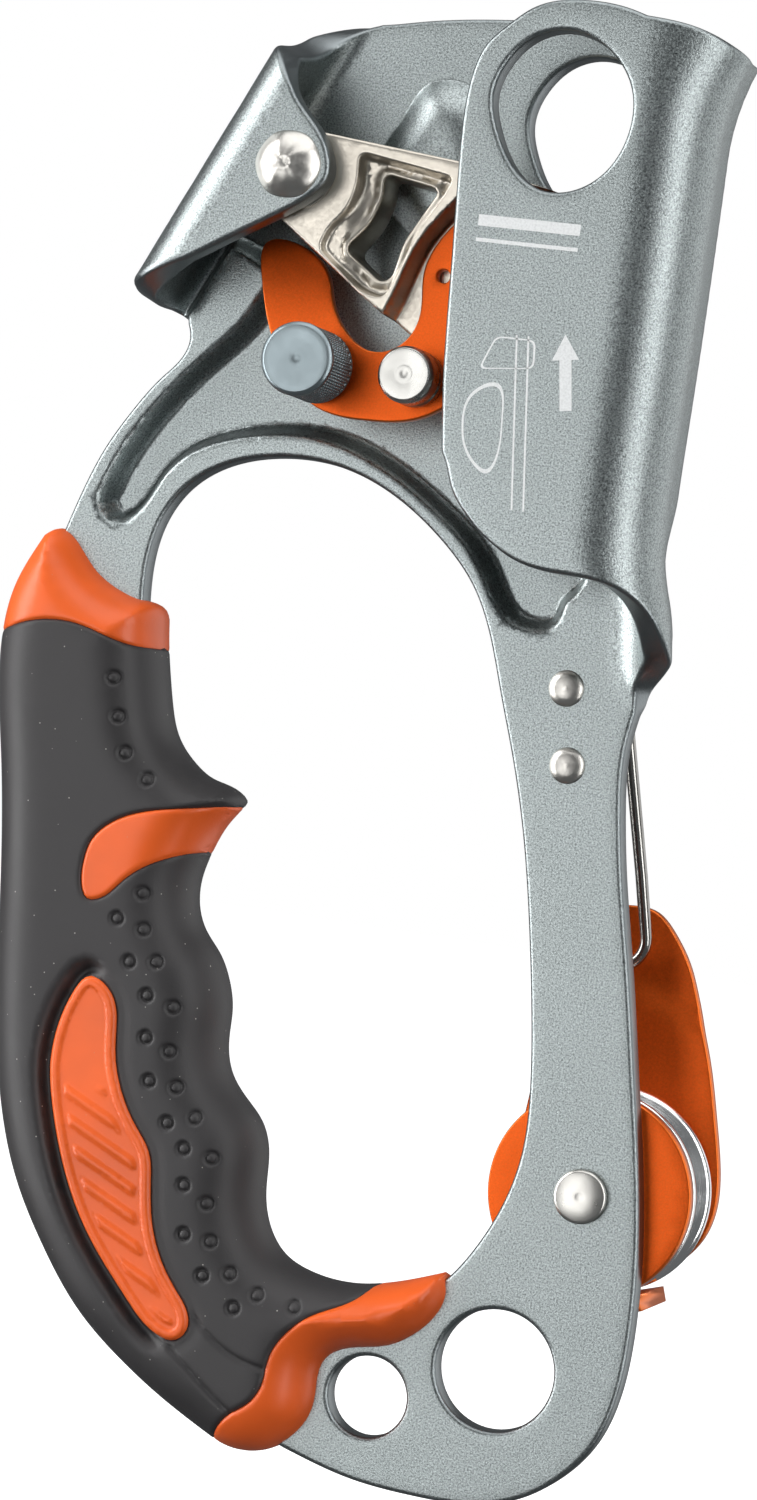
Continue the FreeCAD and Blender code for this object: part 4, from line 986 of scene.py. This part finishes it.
def build_grip(sizes):
    """One net over the whole grip, divided by its parting lines into collars, band, inlays and rubber.

    The surface is the grip height less shallow rings for the finger dots, a moat beside the inlay, two
    creases below it, and a fine groove at each parting line, all of them bell curves of a distance. The
    inlay stands up and has slanting ribs, an eased cosine with a pitch of 3.4 mm.
    """
    depth = sizes.grip_thickness / MM / 2
    outline = chain(run(GRIP_HEAD), run(GRIP_OUTER)[1:], run(GRIP_FOOT)[1:], run(GRIP_INNER)[1:-1])
    collar, foot = run(COLLAR_LINE), run(FOOT_LINE)
    band, inlay = closed(FINGER_BAND), closed(INLAY)

    def clip(line):
        return line[within(line, outline)]
    rows = [0.03, 0.12, 0.28, 0.5, 0.8, 1.2, 1.7, 2.4, 3.3, 4.4, 5.6]
    moves = (-0.9, -0.5, -0.25, -0.1, 0.1, 0.25, 0.5, 0.9)
    ends = [looped(band), looped(inlay)]
    marks = []
    for radius in (0.0, 0.45, 0.62, 0.8, 0.98, 1.2, 1.5):
        marks += [circle(spot, max(radius, 0.01), 1 if radius == 0 else 18) for spot in DIMPLES]
    fine_x, fine_z = np.meshgrid(np.arange(-67, -40, 0.42), np.arange(-3, 46, 0.42))
    fine = np.column_stack([fine_x.ravel(), fine_z.ravel()])
    marks.append(fine[signed(fine, inlay) > 0.35])
    creases = [run(line) for line in CREASES]
    bands = [(line, moves) for line in [collar, foot] + ends]
    bands += [(ends[1], (1.4, 2.0, 2.7, 3.5, -1.15, -1.3, -1.45, -1.7, -2.0, -2.3))]
    bands += [(line, moves) for line in creases]
    lines = [clip(collar), clip(foot), ends[1]]
    inner_band = band[within(band, outline)]
    start = int(np.argmax(np.linalg.norm(inner_band - np.roll(inner_band, 1, axis=0), axis=1)))
    lines.append(np.roll(inner_band, -start, axis=0))
    points, faces = triangulate(outline, (), rows, 1.5, bands, marks, lines)
    half = grip_height(points, outline, depth, sizes.grip_round / MM)
    edge = distance(points, [outline])
    parts = np.minimum.reduce([distance(points, [line], False) for line in [collar, foot] + ends])
    open_ease = ease(edge / 1.0)
    groove = 0.38 * np.exp(-(parts / 0.22) ** 2) * open_ease
    ring = np.zeros(len(points))
    for spot in DIMPLES:
        r = np.hypot(points[:, 0] - spot[0], points[:, 1] - spot[1])
        ring += 0.52 * np.exp(-((r - 0.80) / 0.22) ** 2) + 0.12 * np.exp(-(r / 0.5) ** 2)
    inside = signed(points, inlay)
    middle_x = np.interp(points[:, 1], (-1.0, 12.0, 23.0, 33.0, 43.0), (-44.0, -53.0, -57.5, -60.5, -60.0))
    left = ease((middle_x - points[:, 0]) / 3.5)
    moat = (0.25 + 1.9 * left) * np.exp(-((inside + 0.95) / 0.95) ** 2)
    moat = np.where(inside < 0, moat, 0)
    fold = sum(0.35 * np.exp(-(distance(points, [line], False) / 0.35) ** 2) for line in creases)
    rubber = np.maximum(half - groove - (ring + moat + fold) * open_ease, 0)
    panel = 0.25 - 0.55 * np.exp(-(np.maximum(inside, 0) / 0.22) ** 2) - 0.22 * ease((inside - 1.15) / 0.3)
    along = points[:, 1]
    ribs = 0.32 * ease((np.cos((along + 0.45 * points[:, 0]) * 2 * np.pi / 3.4) - 0.2) / 0.5)
    ribs = ribs * ease((inside - 2.0) / 0.5) * ease((30.0 - along) / 1.0)
    lift = half + panel + ribs

    middle = points[faces].mean(1)
    top_zone = np.vstack([collar, [(-50, 120), (-95, 120)]])
    foot_zone = np.vstack([foot, [(0, -30), (0, 20)]])
    zone = np.zeros(len(faces), int)
    zone[within(middle, top_zone)] = 1
    zone[within(middle, foot_zone)] = 2
    zone[within(middle, band)] = 3
    zone[within(middle, inlay)] = 4

    def piece(name, number, near, far, material, slot, node):
        front = np.column_stack([points[:, 0], near, points[:, 1]])
        back = np.column_stack([points[:, 0], far, points[:, 1]])
        finish(slab(name, points, faces[zone == number], front, back), material, "frame", slot, node)
    piece("grip_body", 0, -rubber, rubber, "moulded_rubber", "grip_rubber", "grip_rubber")
    tip = np.maximum(half - groove, 0)
    for name, number, node in (("grip_collar_upper", 1, "grip_top_collar"),
                               ("grip_collar_lower", 2, "grip_lower_collar"),
                               ("grip_band", 3, "grip_finger_band")):
        piece(name, number, -tip, tip, "moulded_orange", "grip_orange", node)
    root = np.full(len(points), 6.0)
    piece("grip_panel_front", 4, -lift, -root, "moulded_orange", "grip_orange", "grip_inlay_front")
    piece("grip_panel_back", 4, root, lift, "moulded_orange", "grip_orange", "grip_inlay_back")


# ---------------------------------------------------------------- pulley

AXLE = (8.6, 25.2)
# Depths of the two cheek sheets' faces.
NEAR_FRONT, NEAR_BACK = 2.0, 4.0
FAR_FRONT, FAR_BACK = 16.6, 18.6
FAR_CHEEK = [(5.8, 64.2), (9.0, 63.8), (11.9, 61.3), (14.7, 57.2), (16.9, 51.8), (19.4, 44.9), (21.7, 36.1),
             (23.2, 28.6), (23.3, 24.4), (22.0, 19.9), (18.6, 15.7), (14.6, 12.3), (9.0, 10.8), (2.6, 11.6),
             (-2.6, 15.0), (-5.6, 22.0), (-5.4, 32.0), (-4.4, 45.0), (-3.0, 57.0), (0.6, 62.8)]


def build_pulley():
    """Cheek sheets, bridge, grooved wheel and axle of the hauling pulley. The far cheek's top is bent back."""
    def joggled(points):
        lean = ease((points[:, 2] - 50.0 + 0.35 * (points[:, 0] - 10)) / 4.5)
        points = points.copy()
        points[:, 1] += lean
        return points
    item = plate("pulley_cheek_far", closed(FAR_CHEEK), [], FAR_FRONT, FAR_BACK, 0.35, 1.5, joggled)
    finish(item, "orange_anodised_aluminium", "frame", "orange_anodised", "pulley_cheek")
    item = plate("pulley_cheek_near", circle(AXLE, 14.1, 128), [], NEAR_FRONT, NEAR_BACK, 0.35, 1.8)
    finish(item, "orange_anodised_aluminium", "frame", "orange_anodised")
    lean = math.radians(-72)
    out = np.array([math.cos(lean), math.sin(lean)])
    across = np.array([-out[1], out[0]])
    centre = np.array(AXLE)
    inner, outer, half = 14.5, 16.6, 4.5
    places = ((inner, -half), (outer, -half), (outer, half), (inner, half))
    corners = [centre + out * a + across * b for a, b in places]
    item = plate("pulley_bridge", polygon(corners, 0.8), [], NEAR_FRONT, FAR_BACK, 0.5, 1.5)
    finish(item, "orange_anodised_aluminium", "frame", "orange_anodised")

    front, back = 4.6, 16.0
    middle = (front + back) / 2
    lathe = [(7.5, front + 1.2), (9.4, front + 0.85), (10.4, front + 0.75), (10.7, front + 0.5)]
    lathe += [(10.9, front + 0.3), (11.3, front + 0.2), (11.6, front + 0.32), (11.8, front + 0.2)]
    lathe += [(12.2, front)]
    lathe += arc(13.8, front + 0.4, 0.4, -90, 0, 5) + [(14.2, front + 0.9)]
    lathe += [(13.6, front + 1.3), (11.8, front + 1.9), (10.2, front + 3.1), (9.5, front + 4.4), (9.3, middle),
              (9.5, back - 4.4), (10.2, back - 3.1), (11.8, back - 1.9), (13.6, back - 1.3), (14.2, back - 0.9)]
    lathe += arc(13.8, back - 0.4, 0.4, 0, 90, 5) + [(11.6, back), (10.8, back - 0.5), (7.5, back - 1.2)]
    item = turned("pulley_wheel", lathe, AXLE, 160)
    finish(item, "wheel_turned_aluminium", "sheave", "turned_aluminium", "pulley_sheave")

    def head(face, side):
        rows = ((0, 1.27), (0.4, 1.27), (0.55, 1.3), (0.8, 1.3), (3.2, 1.3), (3.5, 1.15), (3.66, 0.9),
                (3.69, 0.5), (3.69, 0))
        return [(radius, face + side * rise) for radius, rise in rows]
    lathe = head(-HALF, -1) + [(3.0, -HALF), (3.0, FAR_BACK)] + head(FAR_BACK, 1)[::-1]
    item = turned("pulley_axle_turned", lathe, AXLE, 96)
    finish(item, "axle_turned_steel", "frame", "turned_aluminium", "pulley_axle")
    for node in ("bearing_outer_race", "bearing_inner_race", "bearing_balls", "axle_front_spacer",
                 "axle_back_spacer"):
        coat_node(node, "bearing_steel")
    coat_node("bearing_cage", "cage_nylon")


# ---------------------------------------------------------------- wire gate

GATE_PIVOT = (-2.4, 87.4)
GATE_TILT = math.atan2(1.6, 10.3)


def build_gate():
    """Sprung wire loop in its own side and down lengths, then leant out and turned in line with the leg.

    Straight sides that taper a little towards the bracket, quarter-round corners of 4 mm at the far end, and
    ends turned in through quarters of 0.8 mm. Two rivets hold the bracket to the leg.
    """
    half, corner, turn_in, start, stop, length = 7.0, 4.0, 0.8, 6.4, 15.2, 32.5
    quarter = np.radians(np.linspace(0, 90, 9))
    local = [(half - 3.2, 0), (half - turn_in, 0)]
    local += [(half - turn_in + turn_in * math.sin(a), turn_in - turn_in * math.cos(a)) for a in quarter[1:]]
    local += [(half, down) for down in np.linspace(3, 26, 9)]
    local += [(half - corner * (1 - math.cos(a)), length - corner + corner * math.sin(a)) for a in quarter]
    mirrored = [(-side, down) for side, down in local[::-1]]
    local = np.array(local + [(2.0, length), (0.0, length), (-2.0, length)] + mirrored)
    side, down = local[:, 0], local[:, 1]
    side = side * (0.94 + 0.06 * np.minimum(down / 20, 1))
    path = np.column_stack([GATE_PIVOT[0] + side * math.cos(GATE_TILT) + down * math.sin(GATE_TILT),
                            start + (stop - start) / length * down,
                            GATE_PIVOT[1] + side * math.sin(GATE_TILT) - down * math.cos(GATE_TILT)])
    item = tube("gate_wire", path, 0.85)
    finish(item, "polished_spring_steel", "gate", "spring_wire", "wire_gate")
    coat_node("gate_bracket", "blasted_stainless")
    lathe = [(0, -3.0), (0.4, -2.98), (0.7, -2.9), (1.3, -2.86), (1.8, -2.66), (2.2, -2.4), (2.45, -2.15)]
    lathe += [(2.5, -1.95), (1.5, -1.9), (1.5, 3.2), (2.2, 3.2), (2.0, 3.6), (1.4, 3.95), (0.6, 4.1), (0, 4.1)]
    for number, spot in enumerate(((-3.2, 92.5), (-1.6, 82.2))):
        item = turned("leg_rivet_%d" % (number + 1), lathe, spot, 64)
        finish(item, "hammered_rivet_steel", "frame", "rivet_steel", *(["gate_rivets"] if number == 0 else []))


# ---------------------------------------------------------------- stage

def build_stage(light):
    """Seamless pale paper, soft lights at both sides, and a long-lens camera."""
    paper("pale_paper", linear("#F4F4F2"), linear("#F8F8F7"))
    size = 24
    u = np.linspace(-4000, 4000, size)
    gx, gy = np.meshgrid(u, u)
    points = np.column_stack([gx.ravel(), gy.ravel(), np.full(gx.size, -140.0)])
    index = np.arange(size * size).reshape(size, size)
    quads = np.stack([index[:-1, :-1], index[:-1, 1:], index[1:, 1:], index[1:, :-1]], axis=2).reshape(-1, 4)
    floor = write_mesh("floor_paper", points, [quads])
    floor.data.materials.append(LIBRARY["pale_paper"])
    floor.visible_glossy = False
    floor.visible_diffuse = False

    world = bpy.data.worlds.new("studio_surround")
    bpy.context.scene.world = world
    world.use_nodes = True
    tree = world.node_tree
    tree.nodes.clear()
    path = add_node(tree, "ShaderNodeLightPath")
    plain = add_node(tree, "ShaderNodeBackground", Color=(1, 1, 1, 1), Strength=1.0)
    dim = add_node(tree, "ShaderNodeBackground", Color=rgba(linear("#C9CDD0")), Strength=light.surround)
    both = add_node(tree, "ShaderNodeMixShader", i0=path.outputs["Is Camera Ray"], i1=dim.outputs[0],
                    i2=plain.outputs[0])
    add_node(tree, "ShaderNodeOutputWorld", Surface=both.outputs[0])

    aim = Vector((-0.030, -0.005, 0.085))

    def softbox(name, azimuth, elevation, far, width, height, power):
        """Rectangular light at an azimuth, elevation and distance from the aim, turned towards it."""
        data = bpy.data.lights.new(name, "AREA")
        data.shape = "RECTANGLE"
        data.size, data.size_y = width, height
        data.energy = power
        item = bpy.data.objects.new(name, data)
        bpy.context.scene.collection.objects.link(item)
        a, e = math.radians(azimuth), math.radians(elevation)
        spot = aim + far * Vector((math.sin(a) * math.cos(e), -math.cos(a) * math.cos(e), math.sin(e)))
        item.location = spot
        item.rotation_euler = (aim - spot).to_track_quat("-Z", "Y").to_euler()
    softbox("left_softbox", -68, 8, 1.0, 0.50, 1.5, light.left_power)
    softbox("right_softbox", 66, 10, 1.0, 0.30, 1.6, light.right_power)
    softbox("front_fill", -18, -4, 1.3, 0.65, 1.0, light.fill_power)
    softbox("top_softbox", 10, 78, 1.0, 1.1, 1.1, light.top_power)
    softbox("back_softbox", 132, 4, 1.3, 1.5, 1.6, light.back_power)

    data = bpy.data.cameras.new("long_lens")
    data.sensor_fit = "VERTICAL"
    data.sensor_height = 36.0
    data.lens = 105.12
    data.clip_start = 0.05
    camera = bpy.data.objects.new("long_lens", data)
    bpy.context.scene.collection.objects.link(camera)
    turn = (Matrix.Rotation(math.radians(-8.3), 4, "Y") @ Matrix.Rotation(math.radians(16.0), 4, "Z")
            @ Matrix.Rotation(math.radians(91.9), 4, "X"))
    target = Vector((light.target[0], light.target[1], light.target[2]))
    camera.matrix_world = Matrix.Translation(target) @ turn @ Matrix.Translation((0, 0, 0.600))
    bpy.context.scene.camera = camera
    bpy.context.scene.view_settings.view_transform = "Standard"


def build_library(colours):
    """Every finish of the ascender. Grains, pitches and patches are in millimetres."""
    # Stamped aluminium sheet, bead blasted and anodised titanium grey: a fine matt grain that twinkles, and
    # smoother coined edges coloured darker as painted shade. Blasting leaves a grain of about 0.1 mm; it is
    # drawn at 0.25 mm so that it shows.
    blasted("blasted_anodised_aluminium", tuple(colours.frame), 1.0, 0.33, 0.25, 0.58, 1.0, linear("#858B8D"))
    # Aluminium sheet with dye-filled anodising: the colour comes from the dye and the gloss from the metal
    # below, with edges painted a little lighter as a painted highlight. Its grain is drawn at 0.3 mm so that it
    # shows.
    blasted("orange_anodised_aluminium", tuple(colours.orange), 0.8, 0.40, 0.3, 0.12, 0.4, linear("#F07A30"))
    # Folded stainless sheet, bead blasted: even and matt, with grain drawn at 0.3 mm.
    blasted("blasted_stainless", linear("#A9ACAD"), 1.0, 0.38, 0.3, 0.12, 0.3)
    # Turned aluminium with grey anodising: a cool satin face with hardly visible rings 0.10 mm apart.
    brushed("knob_anodised", linear("#848F93"), 0.34, 0.10, KNOB, 0.2, 0.9, 0.06)
    # Turned aluminium left bright: rings 0.14 mm apart spread its highlights round the centre.
    brushed("pin_turned_aluminium", linear("#AFAEAA"), 0.28, 0.14, PIN, 0.15)
    # Turned steel of the axle's heads: like the pin, lighter and a little duller.
    brushed("axle_turned_steel", linear("#BDBBB6"), 0.30, 0.14, AXLE, 0.12)
    # Turned and polished aluminium wheel: clear reflections broken by rings 0.16 mm apart.
    brushed("wheel_turned_aluminium", linear("#E4E4E4"), 0.20, 0.16, AXLE, 0.3)
    # Nickel-plated rivet steel upset by a hammer: soft, slightly uneven reflections.
    cast("hammered_rivet_steel", linear("#CFCCC6"), 0.34, 0.15)
    # Investment-cast steel, nickel plated: warm light grey, satin, with an uneven skin that bends highlights.
    cast("nickel_plated_cast_steel", linear("#CFC8BC"), 0.34, 0.35)
    # Ground bearing steel: nearly a mirror.
    cast("bearing_steel", linear("#C8C8C6"), 0.18, 0.05)
    # Drawn spring wire: smooth, with long narrow highlights.
    cast("polished_spring_steel", linear("#A8A6A2"), 0.18, 0.05)
    # Turned brass bush: yellow and softly bright.
    cast("turned_brass", linear("#C9A35A"), 0.25, 0.10)
    # Thermoplastic rubber, injection moulded: dark and matt, with pale dust specks about 0.2 mm wide.
    moulded("moulded_rubber", tuple(colours.rubber), 0.52, 0.9)
    # Harder orange plastic of the collars, band and inlay: smoother, so its highlights are tighter.
    moulded("moulded_orange", tuple(colours.grip_orange), 0.38, 0.15)
    # Injection-moulded nylon of the bearing's cage: plain dark grey and satin.
    moulded("cage_nylon", linear("#3A3A3C"), 0.45, 0.0)
    # Oxide lifted by a laser: near white and matt.
    printed("laser_mark", linear("#EDEFEF"))


# ---------------------------------------------------------------- add-on classes

class AscenderSizes(bpy.types.PropertyGroup):
    """Sizes a user may change."""
    coined_edge: bpy.props.FloatProperty(name="Coined edge", description="Radius pressed on every sheet edge",
                                         default=COIN * MM, unit="LENGTH")
    grip_thickness: bpy.props.FloatProperty(name="Grip thickness", description="Thickness of the moulded grip",
                                            default=0.019, unit="LENGTH")
    grip_round: bpy.props.FloatProperty(name="Grip rounding", default=0.0085, unit="LENGTH",
                                        description="Distance over which the grip rounds off")


class AscenderColours(bpy.types.PropertyGroup):
    """Colours a user may change."""
    frame: bpy.props.FloatVectorProperty(name="Frame", description="Anodised frame", subtype="COLOR",
                                         default=linear("#9BA2A2"))
    orange: bpy.props.FloatVectorProperty(name="Orange metal", description="Dyed anodising", subtype="COLOR",
                                          default=linear("#DE5A14"))
    rubber: bpy.props.FloatVectorProperty(name="Rubber", description="Grip rubber", subtype="COLOR",
                                          default=linear("#343233"))
    grip_orange: bpy.props.FloatVectorProperty(name="Grip orange", description="Collars, band and inlay",
                                               subtype="COLOR", default=linear("#F2641F"))


class AscenderLight(bpy.types.PropertyGroup):
    """Studio light and camera."""
    left_power: bpy.props.FloatProperty(name="Left softbox", description="Power", default=15.0, unit="POWER")
    right_power: bpy.props.FloatProperty(name="Right softbox", description="Power", default=6.8, unit="POWER")
    fill_power: bpy.props.FloatProperty(name="Front fill", description="Power", default=5.0, unit="POWER")
    top_power: bpy.props.FloatProperty(name="Top softbox", description="Power", default=7.0, unit="POWER")
    back_power: bpy.props.FloatProperty(name="Back softbox", description="Power", default=7.0, unit="POWER")
    surround: bpy.props.FloatProperty(name="Surround", description="Brightness of the room", default=0.22)
    target: bpy.props.FloatVectorProperty(name="Aim", description="Point at the middle of the view",
                                          unit="LENGTH", default=(-0.0287, 0.0, 0.0807))


class ASCENDER_OT_library(bpy.types.Operator):
    """Mix every finish."""
    bl_idname = "ascender.library"
    bl_label = "Finishes"

    def execute(self, context):
        build_library(context.scene.ascender_colours)
        return {"FINISHED"}


class ASCENDER_OT_frame(bpy.types.Operator):
    """Bend the frame sheet and print its marks."""
    bl_idname = "ascender.frame"
    bl_label = "Frame"

    def execute(self, context):
        build_frame(context.scene.ascender_sizes)
        build_marks()
        return {"FINISHED"}


class ASCENDER_OT_cam(bpy.types.Operator):
    """Build the cam, its teeth and its rivet."""
    bl_idname = "ascender.cam"
    bl_label = "Cam"

    def execute(self, context):
        build_cam()
        build_cam_rivet()
        return {"FINISHED"}


class ASCENDER_OT_catch(bpy.types.Operator):
    """Build the catch lever, knob, pin and rivet."""
    bl_idname = "ascender.catch"
    bl_label = "Catch"

    def execute(self, context):
        build_catch()
        return {"FINISHED"}


class ASCENDER_OT_grip(bpy.types.Operator):
    """Mould the grip, its collars, band and inlays."""
    bl_idname = "ascender.grip"
    bl_label = "Grip"

    def execute(self, context):
        build_grip(context.scene.ascender_sizes)
        return {"FINISHED"}


class ASCENDER_OT_pulley(bpy.types.Operator):
    """Build the pulley cheeks, wheel and axle."""
    bl_idname = "ascender.pulley"
    bl_label = "Pulley"

    def execute(self, context):
        build_pulley()
        return {"FINISHED"}


class ASCENDER_OT_gate(bpy.types.Operator):
    """Bend the wire gate and set the leg rivets."""
    bl_idname = "ascender.gate"
    bl_label = "Wire gate"

    def execute(self, context):
        build_gate()
        return {"FINISHED"}


class ASCENDER_OT_stage(bpy.types.Operator):
    """Set the paper, the lights and the camera."""
    bl_idname = "ascender.stage"
    bl_label = "Stage"

    def execute(self, context):
        build_stage(context.scene.ascender_light)
        return {"FINISHED"}


STEPS = (ASCENDER_OT_library, ASCENDER_OT_frame, ASCENDER_OT_cam, ASCENDER_OT_catch, ASCENDER_OT_grip,
         ASCENDER_OT_pulley, ASCENDER_OT_gate, ASCENDER_OT_stage)


class ASCENDER_PT_panel(bpy.types.Panel):
    """Sidebar panel with the build steps."""
    bl_label = "Ascender"
    bl_idname = "ASCENDER_PT_panel"
    bl_space_type = "VIEW_3D"
    bl_region_type = "UI"
    bl_category = "Ascender"

    def draw(self, context):
        for setting, kind in GROUPS:
            group = getattr(context.scene, setting)
            for name in kind.__annotations__:
                self.layout.prop(group, name)
        for step in STEPS:
            self.layout.operator(step.bl_idname)


GROUPS = (("ascender_sizes", AscenderSizes), ("ascender_colours", AscenderColours),
          ("ascender_light", AscenderLight))


def register():
    """Registers the classes and hangs the settings on the scene."""
    for name, group in GROUPS:
        bpy.utils.register_class(group)
        setattr(bpy.types.Scene, name, bpy.props.PointerProperty(type=group))
    for step in STEPS + (ASCENDER_PT_panel,):
        bpy.utils.register_class(step)


def unregister():
    """Takes the classes and settings away again."""
    for step in (ASCENDER_PT_panel,) + STEPS[::-1]:
        bpy.utils.unregister_class(step)
    for name, group in GROUPS[::-1]:
        delattr(bpy.types.Scene, name)
        bpy.utils.unregister_class(group)


def main():
    """Builds every piece in order."""
    register()
    for step in STEPS:
        family, name = step.bl_idname.split(".")
        getattr(getattr(bpy.ops, family), name)()


if __name__ == "__main__":
    main()
